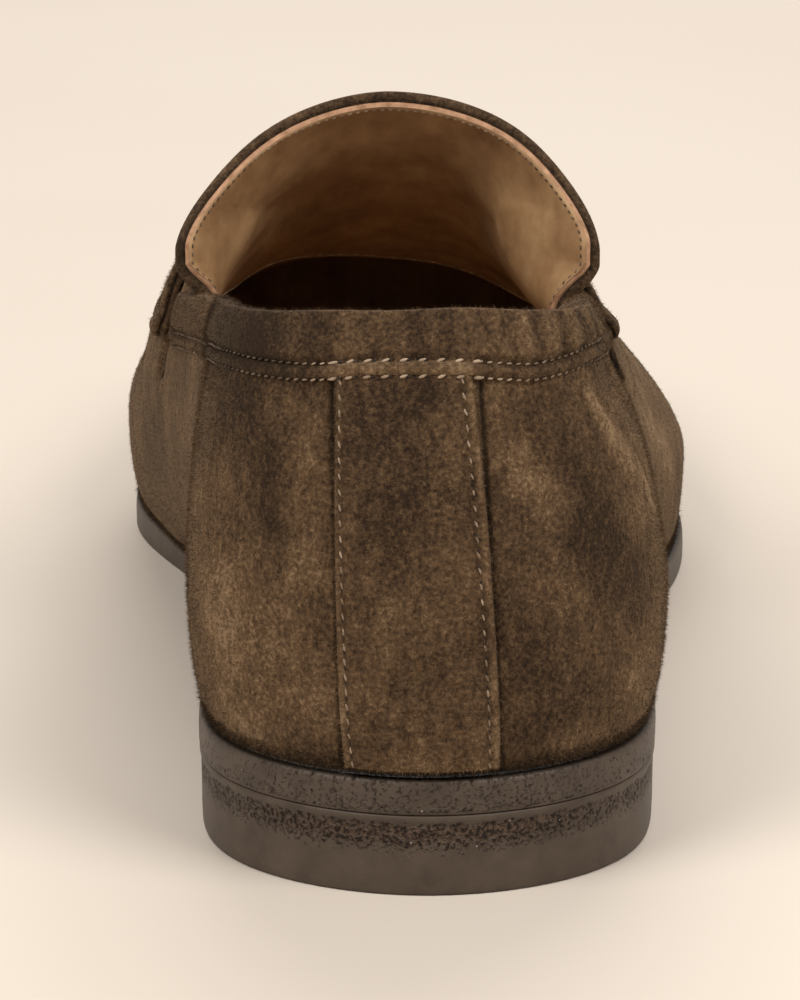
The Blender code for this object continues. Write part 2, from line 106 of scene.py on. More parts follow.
# Worn shoes lean in at the collar and over the instep. Soft hollows: side, y, z, their reach along y
# and in height, and their depth, in millimetres. A negative depth is a bulge.
HOLLOWS = (
    (1, 66, 76, 46, 14, 2.6), (1, 124, 67, 14, 9, 1.4), (1, 134, 49, 16, 8, -1.5), (1, 225, 30, 30, 8, 0.6),
    (1, 150, 61, 19, 9, 2.6), (-1, 149, 64, 22, 10, 2.9), (-1, 172, 41, 30, 9, 0.8),
)
print(len(LATERAL), "stations on a side")


# %% Small sums, and smooth lines through the tables
def mix(start, end, share):
    """The value a share of the way from start to end."""
    return start + (end - start) * share


def smooth(x):
    """A soft step from 0 to 1 while x goes from 0 to 1."""
    x = np.clip(x, 0, 1)
    return x * x * (3 - 2 * x)


def bell(x, middle, width):
    """1 at the middle, and softly down to nearly 0 at twice the width from it."""
    return np.exp(-((x - middle) / width) ** 2)


def unit(ways):
    """The same ways with the length 1."""
    return ways / np.maximum(np.linalg.norm(ways, axis=-1, keepdims=True), 1e-9)


def profile(rows, y):
    """A smooth value over y through (y, value) rows, which never swings past a row."""
    knots, values = np.array(rows, float).T
    steps = np.diff(knots)
    rates = np.diff(values) / steps
    slopes = np.zeros(len(knots))
    slopes[0], slopes[-1] = rates[0], rates[-1]
    for i in range(1, len(knots) - 1):
        if rates[i - 1] * rates[i] > 0:
            before, after = 2 * steps[i] + steps[i - 1], steps[i] + 2 * steps[i - 1]
            slopes[i] = (before + after) / (before / rates[i - 1] + after / rates[i])
    y = np.clip(np.asarray(y, float), knots[0], knots[-1])
    i = np.clip(np.searchsorted(knots, y, side="right") - 1, 0, len(steps) - 1)
    h = steps[i]
    f = (y - knots[i]) / h
    ends = (1 + 2 * f) * (1 - f) ** 2 * values[i] + f * f * (3 - 2 * f) * values[i + 1]
    return ends + f * (1 - f) ** 2 * h * slopes[i] + f * f * (f - 1) * h * slopes[i + 1]


# The stations in a ring, out along the lateral side and back along the medial side.
SIDES = np.repeat((1.0, -1.0), (len(LATERAL) + 2, len(MEDIAL)))
y, sole, swell, rise, fullness = np.array((HEEL_BACK, *LATERAL, TOE_TIP, *reversed(MEDIAL))).T
RING = np.column_stack([SIDES * sole * BALL_WIDTH, y * LENGTH, swell * BALL_WIDTH, rise * INSTEP_HEIGHT,
                        fullness])
KNOTS = len(RING)
TOE = KNOTS // 2
# A smooth closed curve, a cubic spline, goes through the stations; these are its second derivatives there.
ROLLED = np.roll(np.eye(KNOTS), 1, axis=1)
BENDS = np.linalg.solve(4 * np.eye(KNOTS) + ROLLED + ROLLED.T,
                        6 * (np.roll(RING, 1, axis=0) - 2 * RING + np.roll(RING, -1, axis=0)))


def on_ring(t):
    """x, y, swell, rise and fullness at ring places t: 0 is the heel back, TOE the toe tip."""
    t = np.mod(np.asarray(t, float), KNOTS)
    i = np.floor(t).astype(int) % KNOTS
    f = (t - np.floor(t))[..., None]
    j = (i + 1) % KNOTS
    bend = ((1 - f) ** 3 - (1 - f)) * BENDS[i] / 6 + (f ** 3 - f) * BENDS[j] / 6
    return (1 - f) * RING[i] + f * RING[j] + bend


def outward(t):
    """The way out of the sole's outline in plan."""
    run = (on_ring(np.asarray(t) + 0.01) - on_ring(np.asarray(t) - 0.01))[..., :2]
    return unit(np.stack([run[..., 1], -run[..., 0]], axis=-1))


def edge(t, inset=0.0):
    """The sole's outline in plan, drawn in by inset."""
    return on_ring(t)[..., :2] - np.asarray(inset)[..., None] * outward(t)


def t_at(y, side):
    """The ring place of a side, 1 lateral or -1 medial, at y along the shoe."""
    places = np.linspace(0, TOE, 601)
    t = np.interp(y, on_ring(places)[:, 1], places)
    return t if side > 0 else KNOTS - t


print("outline", on_ring(np.arange(KNOTS))[:, :2].min(axis=0), on_ring(np.arange(KNOTS))[:, :2].max(axis=0))


# %% The skin of the last
def skin(t, s):
    """The upper's outer skin: s is 0 at the feather line, 1 at the widest line and 2 at the ridge."""
    t, s = np.broadcast_arrays(np.asarray(t, float), np.asarray(s, float))
    at = on_ring(t)
    y, swell, rise, fullness = at[..., 1], at[..., 2], at[..., 3], at[..., 4]
    feather = edge(t, FEATHER_INSET)
    widest = edge(t) + swell[..., None] * outward(t)
    feather_z = profile(UNDERSIDE, y) + SOLE_THICKNESS + GAP
    ridge_y = np.clip(y, RIDGE[0, 0], RIDGE[-1, 0])
    top = np.stack([profile(RIDGE[:, :2], ridge_y), ridge_y], axis=-1)
    top_z = profile(RIDGE[:, ::2], ridge_y)
    low = np.clip(s, 0, 1)
    out = np.sqrt(1 - (1 - low) ** 2)[..., None]
    angle = np.clip(s - 1, 0, 1) * math.pi / 2
    rounding = np.clip((s - RIDGE_ROUND_FROM) / (2 - RIDGE_ROUND_FROM), 0, 1)
    power = fullness + (2 - fullness) * rounding ** 2 * (3 - 2 * rounding)
    lower = mix(feather, widest, out)
    upper = mix(top, widest, (np.cos(angle) ** (2 / power))[..., None])
    plan = np.where((s <= 1)[..., None], lower, upper)
    widest_z = feather_z + rise
    z = np.where(s <= 1, feather_z + rise * low, mix(widest_z, top_z, np.sin(angle) ** (2 / power)))
    for side, mid_y, mid_z, reach_y, reach_z, depth in HOLLOWS:
        weight = np.exp(-((plan[..., 1] - mid_y) / reach_y) ** 4 - ((z - mid_z) / reach_z) ** 4)
        plan[..., 0] -= side * depth * weight * np.clip(side * plan[..., 0] / 12, 0, 1)
    return np.concatenate([plan, z[..., None]], axis=-1)


def skin_normal(t, s):
    """The way out of the skin, from two short steps over it."""
    t, s = np.broadcast_arrays(np.asarray(t, float), np.asarray(s, float))
    near = np.clip(s, STEP, 2 - STEP)
    along = skin(t + STEP, near) - skin(t - STEP, near)
    up = skin(t, near + STEP) - skin(t, near - STEP)
    return unit(np.cross(along, up))


def raised(t, s, by):
    """The skin moved out by a distance in millimetres, or in where it is negative."""
    return skin(t, s) + np.asarray(by)[..., None] * skin_normal(t, s)


def s_at_height(t, z):
    """Where on the section at t the skin reaches height z."""
    t, z = np.asarray(t, float), np.asarray(z, float)
    places = np.linspace(0, 2, 201)
    heights = skin(t[..., None], places)[..., 2]
    shape = np.broadcast_shapes(t.shape, z.shape)
    columns = np.broadcast_to(heights, (*shape, len(places))).reshape(-1, len(places))
    wanted = np.broadcast_to(z, shape).ravel()
    return np.array([np.interp(h, column, places) for h, column in zip(wanted, columns)]).reshape(shape)


def topline_z(t):
    """The height of the topline at t."""
    return profile(TOPLINE, on_ring(t)[..., 1])


def topline_s(t):
    """Where the topline cuts the section at t; 2 in front of the throat, where the vamp is closed."""
    return np.where(on_ring(t)[..., 1] >= TOPLINE[-1, 0], 2.0, s_at_height(t, topline_z(t)))


def arch_places(y, foot_z, across):
    """Ring places and section places over the instep; across is -1 at the medial foot, 1 at the lateral."""
    t = np.where(across > 0, t_at(y, 1), t_at(y, -1))
    return t, 2 - np.abs(across) * (2 - s_at_height(t, foot_z))


outsole_low = np.array(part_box("outsole")[0]) / MM
outline = edge(np.arange(KNOTS * 3) / 3)
SHIFT = np.array([*(outsole_low[:2] - outline.min(axis=0)), 0.0])
print("shoe to frame, in millimetres:", SHIFT.round(2))

# %% [markdown]
# ## Tools for the bench
# Most pieces below are grids of points that are closed into solids. One helper writes a grid as a
# mesh, another hands the piece over: it rides on the shoe's body and stands for its solid. Distances
# to short lines are used again and again, for folds and for strokes of nap and painted light.


# %% Helpers that make a piece
def quads(rows, columns, close_rows=False, close_columns=False):
    """Faces of a grid of points, joined round in either direction if asked."""
    i, j = np.meshgrid(np.arange(rows if close_rows else rows - 1),
                       np.arange(columns if close_columns else columns - 1), indexing="ij")
    i2, j2 = (i + 1) % rows, (j + 1) % columns
    corners = (i * columns + j, i2 * columns + j, i2 * columns + j2, i * columns + j2)
    return np.stack(corners, -1).reshape(-1, 4)


def new_object(name, data):
    """An object in the scene that shows the data."""
    made = bpy.data.objects.new(name, data)
    bpy.context.scene.collection.objects.link(made)
    return made


def add_piece(name, points, faces, materials, face_material=None, closed=True, **attributes):
    """A mesh object from shoe millimetres; an attribute is one number or an array of them over the points."""
    mesh = bpy.data.meshes.new(name)
    place = (np.asarray(points).reshape(-1, 3) + SHIFT) * MM
    mesh.from_pydata(place.tolist(), [], [list(map(int, face)) for face in faces])
    for key, values in attributes.items():
        values = np.broadcast_to(np.asarray(values, np.float32), np.shape(points)[:-1])
        mesh.attributes.new(key, "FLOAT", "POINT").data.foreach_set("value", values.ravel())
    for made in materials:
        mesh.materials.append(made)
    if face_material is not None:
        mesh.polygons.foreach_set("material_index", np.asarray(face_material, np.int32))
    bm = bmesh.new()
    bm.from_mesh(mesh)
    bmesh.ops.remove_doubles(bm, verts=bm.verts, dist=1e-7)
    if closed:
        bmesh.ops.recalc_face_normals(bm, faces=bm.faces)
    bm.to_mesh(mesh)
    bm.free()
    mesh.shade_smooth()
    return new_object(name, mesh)


def settle(piece):
    """Turns a piece's modifiers into a plain mesh."""
    graph = bpy.context.evaluated_depsgraph_get()
    finished = piece.evaluated_get(graph)
    mesh = bpy.data.meshes.new_from_object(finished, preserve_all_data_layers=True, depsgraph=graph)
    piece.modifiers.clear()
    piece.data = mesh
    return piece


def hand_over(piece, slot, *nodes):
    """The piece rides on the shoe's body and stands for its solids; the slot is not used."""
    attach(piece, "root")
    if nodes:
        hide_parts(*nodes)
    triangles = sum(len(face.vertices) - 2 for face in piece.data.polygons)
    print(piece.name, triangles, "triangles")


def tapered_ends(loops, shares):
    """Draws the first and last loops of a long piece in to their middles, so that its ends are round."""
    loops = loops.copy()
    for k, share in enumerate(shares):
        for row in (k, -1 - k):
            middle = loops[row].mean(axis=0)
            loops[row] = mix(middle, loops[row], share)
    return loops


def distance_to(points, start, end):
    """How far points lie from a short straight line."""
    start, run = np.array(start, float), np.subtract(end, start).astype(float)
    share = np.clip((points - start) @ run / (run @ run), 0, 1)
    return np.linalg.norm(points - start - share[..., None] * run, axis=-1)


def strokes(points, table):
    """Sum of soft strokes: each row has a start, an end, a half width and a strength."""
    total = np.zeros(points.shape[:-1])
    for start, end, width, strength in table:
        total += strength * bell(distance_to(points, start, end), 0, width)
    return total


# %% Helpers that make a material
def linear(colour):
    """An sRGB hex colour as the linear numbers that Blender's sockets hold."""
    channels = [int(colour[i:i + 2], 16) / 255 for i in (1, 3, 5)]
    return (*[c / 12.92 if c <= 0.04045 else ((c + 0.055) / 1.055) ** 2.4 for c in channels], 1.0)


def per(size):
    """The scale of a pattern whose marks are so many millimetres across."""
    return 1 / (size * MM)


def plug(made, inputs):
    """Gives a node its inputs: a number, a colour or another node's output."""
    for key, value in inputs.items():
        if isinstance(value, bpy.types.NodeSocket):
            made.id_data.links.new(value, made.inputs[key])
        else:
            made.inputs[key].default_value = value


def node(tree, kind, inputs=None, out=0, stops=(), **settings):
    """Adds a node with its settings and inputs and gives one of its outputs. Stops fill a colour ramp."""
    families = ("ShaderNode", "GeometryNode", "FunctionNode")
    made = tree.nodes.new(next(family + kind for family in families if hasattr(bpy.types, family + kind)))
    for key, value in settings.items():
        setattr(made, key, value)
    for i, (where, colour) in enumerate(stops):
        stop = made.color_ramp.elements[i] if i < 2 else made.color_ramp.elements.new(where)
        stop.position, stop.color = where, linear(colour)
    plug(made, inputs or {})
    return made.outputs[out]


def new_material(name):
    """A material with its tree, its shader and the place on the piece that its patterns read."""
    made = bpy.data.materials.new(name)
    made.use_nodes = True
    tree = made.node_tree
    return made, tree, tree.nodes["Principled BSDF"], node(tree, "TexCoord", out="Object")


# %% [markdown]
# ## Brushed suede
# Suede is the flesh side of leather, buffed until its fibres stand up as a nap. It has no gloss, and
# it changes tone where a hand has brushed the fibres another way. A picture could hold that, but here
# the tone is a sum: brush strokes kept on the points, soft blotches, long brushing marks and the fibre
# speckle. Some of the strokes are painted light, lighter on fold ridges and darker in fold hollows, and
# a second number on the points mixes in near-black painted shade. The speckle of real suede is finer
# than a pixel, so it is drawn coarser.

# %% Suede material
suede, tree, bsdf, spot = new_material("brushed_suede")
# The first attribute is the nap's tone, which also holds painted highlights and painted shade on the folds.
nap = node(tree, "Attribute", out="Fac", attribute_name="nap")
# The second attribute is painted shade: it mixes the coat towards near-black in grooves, slits, seams and
# gaps.
soil = node(tree, "Attribute", out="Fac", attribute_name="soil")
blotch = node(tree, "TexNoise", {"Vector": spot, "Scale": per(11), "Detail": 4.0, "Roughness": 0.6})
combed = node(tree, "Mapping", {"Vector": spot, "Scale": (1.0, 0.9, 0.5)})
brushing = node(tree, "TexNoise", {"Vector": combed, "Scale": per(1.7), "Detail": 3.0, "Roughness": 0.6})
fibre = node(tree, "TexNoise", {"Vector": spot, "Scale": per(0.65), "Detail": 3.0, "Roughness": 0.7})
tone = node(tree, "Math", {0: nap, 1: 0.26, 2: -0.47}, operation="MULTIPLY_ADD")
for pattern, weight in ((blotch, 0.48), (brushing, 0.46), (fibre, 0.95)):
    tone = node(tree, "Math", {0: pattern, 1: weight, 2: tone}, operation="MULTIPLY_ADD")
coat = node(tree, "ValToRGB", {"Fac": tone}, stops=(
    (0.22, "#2b1f16"), (0.86, "#937a5e"), (0.42, "#4b3928"), (0.60, "#654f39")))
shaded_coat = node(tree, "MixRGB", {"Fac": soil, "Color1": coat, "Color2": linear("#0c0805")})
pile = node(tree, "Math", {0: brushing, 1: 0.5, 2: fibre}, operation="MULTIPLY_ADD")
bump = node(tree, "Bump", {"Height": pile, "Strength": 0.7, "Distance": 0.45 * MM})
plug(bsdf, {"Base Color": shaded_coat, "Normal": bump, "Roughness": 0.95, "Specular IOR Level": 0.15,
            "Sheen Weight": 0.18, "Sheen Roughness": 0.45, "Sheen Tint": linear("#c8ab86")})
print("material", suede.name)

# %% [markdown]
# ## Lining leather
# The lining is smooth calf, dyed tan and left matt. Light rubs it paler where a foot slides in, and it
# has a fine pore grain. Two noises give the uneven dye, and small cells give the pores.

# %% Lining and cut-edge materials
lining, tree, bsdf, spot = new_material("tan_lining_calf")
dye = node(tree, "TexNoise", {"Vector": spot, "Scale": per(9), "Detail": 5.0, "Roughness": 0.6})
rubbed = node(tree, "Mapping", {"Vector": spot, "Scale": (1.0, 0.35, 0.35)})
rub = node(tree, "TexNoise", {"Vector": rubbed, "Scale": per(2.2), "Detail": 3.0})
shade = node(tree, "Math", {0: rub, 1: 0.3, 2: dye}, operation="MULTIPLY_ADD")
tan = node(tree, "ValToRGB", {"Fac": shade}, stops=((0.40, "#825f3f"), (0.93, "#bd9a6f"), (0.64, "#a07c55")))
pores = node(tree, "TexVoronoi", {"Vector": spot, "Scale": per(0.8)})
bump = node(tree, "Bump", {"Height": pores, "Strength": 0.25, "Distance": 0.1 * MM})
plug(bsdf, {"Base Color": tan, "Normal": bump, "Roughness": 0.62})

# The cut edge of a hide is pale orange and dull, with its layers just showing.
cut_edge, tree, bsdf, spot = new_material("raw_leather_edge")
layers = node(tree, "TexNoise", {"Vector": spot, "Scale": per(1.6), "Detail": 3.0})
orange = node(tree, "ValToRGB", {"Fac": layers}, stops=((0.3, "#8a6446"), (0.75, "#be9373")))
plug(bsdf, {"Base Color": orange, "Roughness": 0.7})
print("materials", lining.name, cut_edge.name)

# %% [markdown]
# ## Vamp and quarters
# The upper is one leather wall, open at the collar and underneath. Its outside is the last's skin with
# soft folds, its inside is lined. The sheet is drawn as a grid over the skin and thickened inwards with
# a Solidify modifier, which gives the inner faces the lining. Strokes of brushed nap, which also paint
# highlights and shade along the folds, and the painted shade over the sole, in the slits and beside
# the back strip are numbers on its points.

# %% Folds and nap of the upper, in shoe millimetres
# A fold or a stroke of nap: start, end, half width, and its height or its change of tone.
FOLDS = (
    ((23, 15, 71), (30, 21, 57), 1.6, 0.25), ((25, 17, 70), (32, 30, 54), 1.3, -0.32),
    ((26, 19, 69), (33, 29, 50), 1.3, 0.27), ((24, 11, 54), (30, 18, 46), 8.0, -0.55),
    ((15, 5, 66), (20, 8, 58), 7.0, -0.35), ((-33, 24, 52), (-31, 17, 38), 8.0, 0.30),
    ((-24, 10, 58), (-21, 7, 48), 7.0, -0.25), ((38, 150, 36), (44, 178, 26), 5.0, -0.35),
    ((34, 132, 46), (43, 166, 31), 2.5, 0.25), ((33, 120, 44), (43, 158, 26), 2.0, -0.25),
    ((-45, 120, 42), (-50, 165, 26), 6.0, -0.35), ((-44, 112, 34), (-49, 150, 22), 4.0, 0.25),
    ((-26, 190, 48), (22, 192, 44), 7.0, -0.5), ((-30, 208, 40), (24, 206, 38), 6.0, -0.4),
    ((30.5, 74, 59), (32.5, 112, 50), 6.0, -1.2),
)
# Strokes of nap tone, partly painted light: lighter strokes along fold ridges are painted highlights, darker
# ones in fold hollows are painted shade, and some lighten or darken patches as the light falls.
NAP_AND_PAINTED_LIGHT = (
    ((-24, 10, 77), (-33, 45, 74), 9, -0.22), ((-4, 0, 65), (6, 0, 62), 8, -0.22),
    ((23, 13, 66), (30, 22, 55), 8, 0.4), ((16, 5, 64), (17, 6, 56), 3.5, 0.65),
    ((22, 9, 50), (30, 17, 40), 7, -0.22),
    ((-34, 28, 54), (-32, 19, 37), 5, 0.4), ((-17, 7, 67), (-17, 6, 63), 3, 0.5),
    ((-23, 9, 54), (-21, 7, 51), 5, -0.5), ((-19, 6, 57), (-17, 5, 48), 3, 0.6),
    ((-30, 16, 42), (-27, 12, 36), 6, 0.35), ((-26, 15, 68), (-24, 11, 64), 5, -0.35),
    ((-21, 6, 41), (-19, 5, 39), 6, 0.25), ((-29, 16, 23), (-25, 11, 22), 5, 0.45),
    ((-18, 6, 22), (-15, 4, 21), 4, -0.4), ((-6, 4, 74), (-1, 3, 73), 5, -0.45),
    ((-5, 1, 59), (-2, 0, 54), 5, -0.35), ((1, 2, 69), (2, 1, 63), 3, 0.25),
    ((-2, -1, 44), (1, -1, 41), 5, 0.2), ((-5, 1, 20), (5, 1, 20), 4, 0.4),
    ((-8, 1, 52), (-7, 0, 50), 4, -0.25), ((11, 4, 68), (13, 3, 60), 2.5, 0.55),
    ((15, 6, 68), (21, 8, 61), 6, -0.6), ((23, 10, 55), (28, 14, 47), 6, -0.5),
    ((20, 7, 57), (17, 4, 53), 3, 0.3), ((13, 2, 38), (16, 3, 35), 5, -0.4),
    ((20, 6, 45), (23, 8, 42), 5, 0.35), ((15, 3, 26), (20, 6, 27), 4, -0.4),
    ((30, 16, 27), (31, 18, 32), 3, 0.45), ((23, 15, 71), (30, 21, 57), 1.3, 0.65),
    ((25, 17, 70), (32, 30, 54), 1.1, -0.75), ((21, 12, 71), (28, 16, 57), 1.3, -0.4),
    ((26, 19, 69), (33, 29, 50), 1.1, 0.7), ((38, 151, 32), (42, 160, 25), 6, 0.5),
    ((42, 175, 30), (44, 170, 20), 3, -0.2), ((-31, 43, 74), (-25, 19, 78), 8, -0.95),
    ((14, 9, 80), (19, 13, 78), 6, 0.4), ((-10, 7, 80), (2, 5, 80), 6, 0.1),
    ((-45, 127, 37), (-48, 146, 27), 9, -0.5), ((-30, 20, 66), (-20, 9, 64), 7, -0.3),
    ((-28, 14, 33), (-18, 6, 28), 8, 0.35), ((18, 6, 52), (29, 15, 46), 8, -0.2),
    ((43, 165, 30), (44, 175, 24), 6, 0.3),
)
# The back strip: its middle and half its width at the collar seam and at the sole, and its heights.
STRIP_TOP_X, STRIP_TOP_HALF, STRIP_FOOT_X, STRIP_FOOT_HALF = -3.0, 10.3, -0.65, 11.25
STRIP_FOOT_Z, STRIP_TOP_Z = SEAT_HEIGHT + 1.3, 75.0
# The short slits below the strap's ends: side, y and height at the top, y and height at the bottom.
SLITS = ((1, 119.5, 58.0, 120.5, 47.8), (-1, 124.0, 58.0, 125.0, 47.5))
SLIT_HALF, SLIT_DEPTH, SLIT_DIP, GROOVE_DEPTH = 0.75, 0.5, 0.8, 0.45
BACK_REACH = 30.0


def strip_span(z):
    """The back strip's middle and half its width at a height."""
    up = np.clip((z - STRIP_FOOT_Z) / (STRIP_TOP_Z - STRIP_FOOT_Z), 0, 1)
    return mix(STRIP_FOOT_X, STRIP_TOP_X, up), mix(STRIP_FOOT_HALF, STRIP_TOP_HALF, up)


def on_side(side, y, z):
    """A point on the skin of one side at a place along the shoe and a height."""
    t = np.array([t_at(y, side)])
    return skin(t, s_at_height(t, z))[0]


# %% Build the upper
# The grid is closer beside the slits and the edges of the back strip.
coarse = np.arange(KNOTS * 10) / 10
by_slit = np.linspace(t_at(112, 1), t_at(130, 1), 44)
by_strip = np.concatenate([np.linspace(0.46, 0.9, 34), KNOTS - np.linspace(0.76, 1.1, 28)])
t = np.unique(np.concatenate([coarse, by_slit, KNOTS - by_slit, by_strip]).round(5))[:, None]
rows_below, rows_above = np.linspace(0, 1, 20) ** 1.5, np.linspace(0, 1, 81)[1:]
s = np.concatenate([np.tile(rows_below, (len(t), 1)), mix(1, topline_s(t), rows_above)], axis=1)
base = skin(t, s)
sink = strokes(base, FOLDS)
# Painted shade inside the slits.
slit_shade = np.zeros(base.shape[:-1])
for side, y0, z0, y1, z1 in SLITS:
    away = distance_to(base, on_side(side, y0, z0), on_side(side, y1, z1))
    behind = np.interp(base[..., 2], (z1, z0), (y1, y0)) - base[..., 1]
    tall = smooth((base[..., 2] - z1 + 2.5) / 3) * smooth((z0 + 1 - base[..., 2]) / 3)
    tall = tall * (base[..., 0] * side > 0)
    sink -= SLIT_DIP * tall * smooth((9 - behind) / 9) * smooth((behind + 0.5) / 0.5)
    sink -= SLIT_DEPTH * (1 - smooth((away - 0.25) / SLIT_HALF))
    slit_shade = np.maximum(slit_shade, 1 - smooth((away - 0.6) / 0.5))
over_sole = base[..., 2] - base[:, :1, 2]
middle, half = strip_span(base[..., 2])
groove = bell(np.abs(base[..., 0] - middle) - half, 0.2, 0.42)
groove = groove * (base[..., 1] < BACK_REACH) * (base[..., 2] < STRIP_TOP_Z)
sink -= GROOVE_DEPTH * groove
# Painted shade: darker along the sole line, in the slits and in the grooves beside the back strip.
upper_soil = np.maximum.reduce([0.75 * np.exp(-over_sole / 1.1), slit_shade, 0.8 * groove])
upper_sheet, upper_nap = raised(t, s, sink), strokes(base, NAP_AND_PAINTED_LIGHT)
under_strip = (np.abs(upper_sheet[..., 0] - middle) < half) & (upper_sheet[..., 1] < BACK_REACH)
bare = under_strip | (slit_shade > 0.2)
upper = add_piece("upper", upper_sheet, quads(len(t), s.shape[1], close_rows=True), [suede, lining],
                  closed=False, nap=upper_nap, soil=upper_soil)
wall = upper.modifiers.new("wall", "SOLIDIFY")
wall.thickness, wall.offset, wall.use_even_offset = WALL * MM, -1, True
wall.material_offset = 1
hand_over(settle(upper), "suede", "upper")

# %% [markdown]
# ## Collar band
# A strip of suede is folded over the topline and sewn down through a narrow tape, which stands up
# between the two rows of stitches. A curve with a bevel could carry it, but the band leans with the
# last, so its section is drawn as a list of depths under the topline and heights over the skin.

# %% Build the collar band
BAND_FRONT_LATERAL, BAND_FRONT_MEDIAL, TAPE_WIDTH = 116.0, 119.5, 1.9
# How deep the tape's upper edge lies under the topline: y, depth.
TAPE_LATERAL = ((0, 6.4), (4, 7.0), (8, 6.2), (15, 5.0), (22, 4.9), (40, 5.9), (60, 6.0), (80, 5.7),
                (100, 4.8), (120, 4.6))
TAPE_MEDIAL = ((0, 6.4), (5, 7.0), (10, 6.7), (20, 6.1), (30, 6.1), (45, 6.7), (70, 7.0), (88, 6.9),
               (105, 5.9), (120, 5.5))
# Points of a section across the tape and up the face of the band.
TAPE_POINTS, FACE_POINTS = 11, 22
# How far in the roll lies, half its width and its rise; the two faces of the inner flap and its depth.
ROLL_IN, ROLL_HALF, ROLL_RISE, FLAP_INSIDE, FLAP_BACK, FLAP_DEPTH = 1.05, 2.25, 0.6, -3.3, -2.5, 4.2


def tape_depth(t):
    """How deep the tape's upper edge lies at t."""
    y = on_ring(t)[..., 1]
    return np.where(np.mod(t, KNOTS) < TOE, profile(TAPE_LATERAL, y), profile(TAPE_MEDIAL, y))


band_t = np.linspace(-t_at(BAND_FRONT_MEDIAL, 1), t_at(BAND_FRONT_LATERAL, 1), 330)[:, None]
top_s, top_z, tape_top = topline_s(band_t), topline_z(band_t), tape_depth(band_t)
band_x, band_y = on_ring(band_t)[..., 0], on_ring(band_t)[..., 1]
# 1 where the tape runs over the back strip, 0 beside it.
over_strip = smooth((STRIP_TOP_HALF + 2.5 - np.abs(band_x - STRIP_TOP_X)) / 4.0) * (band_y < BACK_REACH)


def band_rows(depths, heights):
    """Rows of points at depths under the topline and heights over the skin."""
    return raised(band_t, s_at_height(band_t, top_z - depths), heights)


tape = tape_top + np.linspace(TAPE_WIDTH, 0, TAPE_POINTS)
tape_height = 0.3 + 0.75 * np.sin(np.linspace(0, math.pi, TAPE_POINTS)) ** 0.6 + 0.85 * over_strip
face = (tape_top - 0.25) * np.linspace(1, 0, FACE_POINTS)
lift = smooth((tape_top - 0.25 - face) / 0.9)
# Near the back the outer side of the band is gathered into small upright ripples, with painted shade in their
# hollows and painted highlights on their crests.
near_back = 0.25 + 0.75 * smooth((58 - band_y) / 30)
gathered = 1 + 1.2 * smooth((band_x - 8) / 10) * smooth((52 - band_y) / 30)
ripple = np.sin(band_x * 1.1 + band_y * 0.6 + 0.9 * np.sin(band_y * 0.31)) * near_back * gathered
pucker = 0.12 * ripple * bell(face, 4, 2.5)
swell = 0.25 * np.sin(math.pi * face / tape_top)
face_height = 0.4 + 0.8 * lift + swell + pucker + 0.5 * over_strip * (1 - lift)
crest = skin(band_t, top_s)
way_out = skin_normal(band_t, top_s)
way_up = unit(crest - skin(band_t, top_s - 0.02))
turn = np.linspace(0, math.pi, 13)[1:-1][None, :, None]
roll = crest - ROLL_IN * way_out + ROLL_HALF * np.cos(turn) * way_out + ROLL_RISE * np.sin(turn) * way_up
inside = band_rows(np.linspace(0, FLAP_DEPTH, 6), FLAP_INSIDE)
back = band_rows(np.linspace(FLAP_DEPTH, 0, 4), FLAP_BACK)
over_wall = np.concatenate([crest + by * way_out + 0.15 * way_up for by in (FLAP_BACK, 0.2)], axis=1)
under = band_rows(0.5 + (tape_top + TAPE_WIDTH - 0.6) * np.linspace(0, 1, 8), 0.12)
section = np.concatenate([band_rows(tape, tape_height), band_rows(face, face_height), roll, inside, back,
                          over_wall, under], axis=1)
x = section[..., 0]
wave = 0.25 * np.sin(x / 7.5 + 0.8) + 0.15 * np.sin(x / 3.1)
section[..., 2] += wave * smooth((section[..., 2] - top_z + 5) / 5) * np.exp(-section[..., 1] / 40)
section = tapered_ends(section, (0.0, 0.75, 0.94, 0.99))
depth = top_z - section[..., 2]
station = np.arange(section.shape[1])
# Painted shade in the crease where the band's face meets the tape.
seam_shade = bell(depth - tape_top, -0.1, 0.35) * (station < TAPE_POINTS + FACE_POINTS)
# The tape is paler where it crosses the back strip.
rubbed = over_strip * (station < TAPE_POINTS)
band_nap = strokes(section, NAP_AND_PAINTED_LIGHT) - 0.32 + rubbed
# Painted shade in the ripples' hollows and painted highlights on their crests.
band_nap[:, TAPE_POINTS:TAPE_POINTS + FACE_POINTS] += 0.16 * ripple
band = add_piece("collar_band", section, quads(*section.shape[:2], close_columns=True), [suede],
                 nap=band_nap, soil=0.35 * seam_shade)
# Its nap grows on the tape, the face and the outer half of the roll.
grown = TAPE_POINTS + FACE_POINTS + 8
band_face, band_nap = section[:, :grown], band_nap[:, :grown]
hand_over(band, "suede", "collar_band")

# %% [markdown]
# ## Back strip
# A strip of suede covers the seam at the back of the heel. Its cut edges stand up over a groove with
# painted shade in it, and the thread pulls a shallow channel beside each of them. Painted shade lies
# along the cut edges and in the channels, and a painted highlight runs along each rounded edge. The grid
# is closer near the edges, because that is where the height changes.

# %% Build the back strip
STRIP_EDGE, STRIP_RISE, CHANNEL_DEPTH, BED_HEIGHT = 0.2, 1.1, 0.25, 0.08
across = np.sin(np.linspace(-1, 1, 61) * math.pi / 2)[:, None]
up = np.linspace(0, 1, 90)[None, :]
middle, half = strip_span(mix(STRIP_FOOT_Z, STRIP_TOP_Z, up))
heel_places = np.linspace(-t_at(24, 1), t_at(24, 1), 801)
ring_x = on_ring(heel_places)[:, 0]


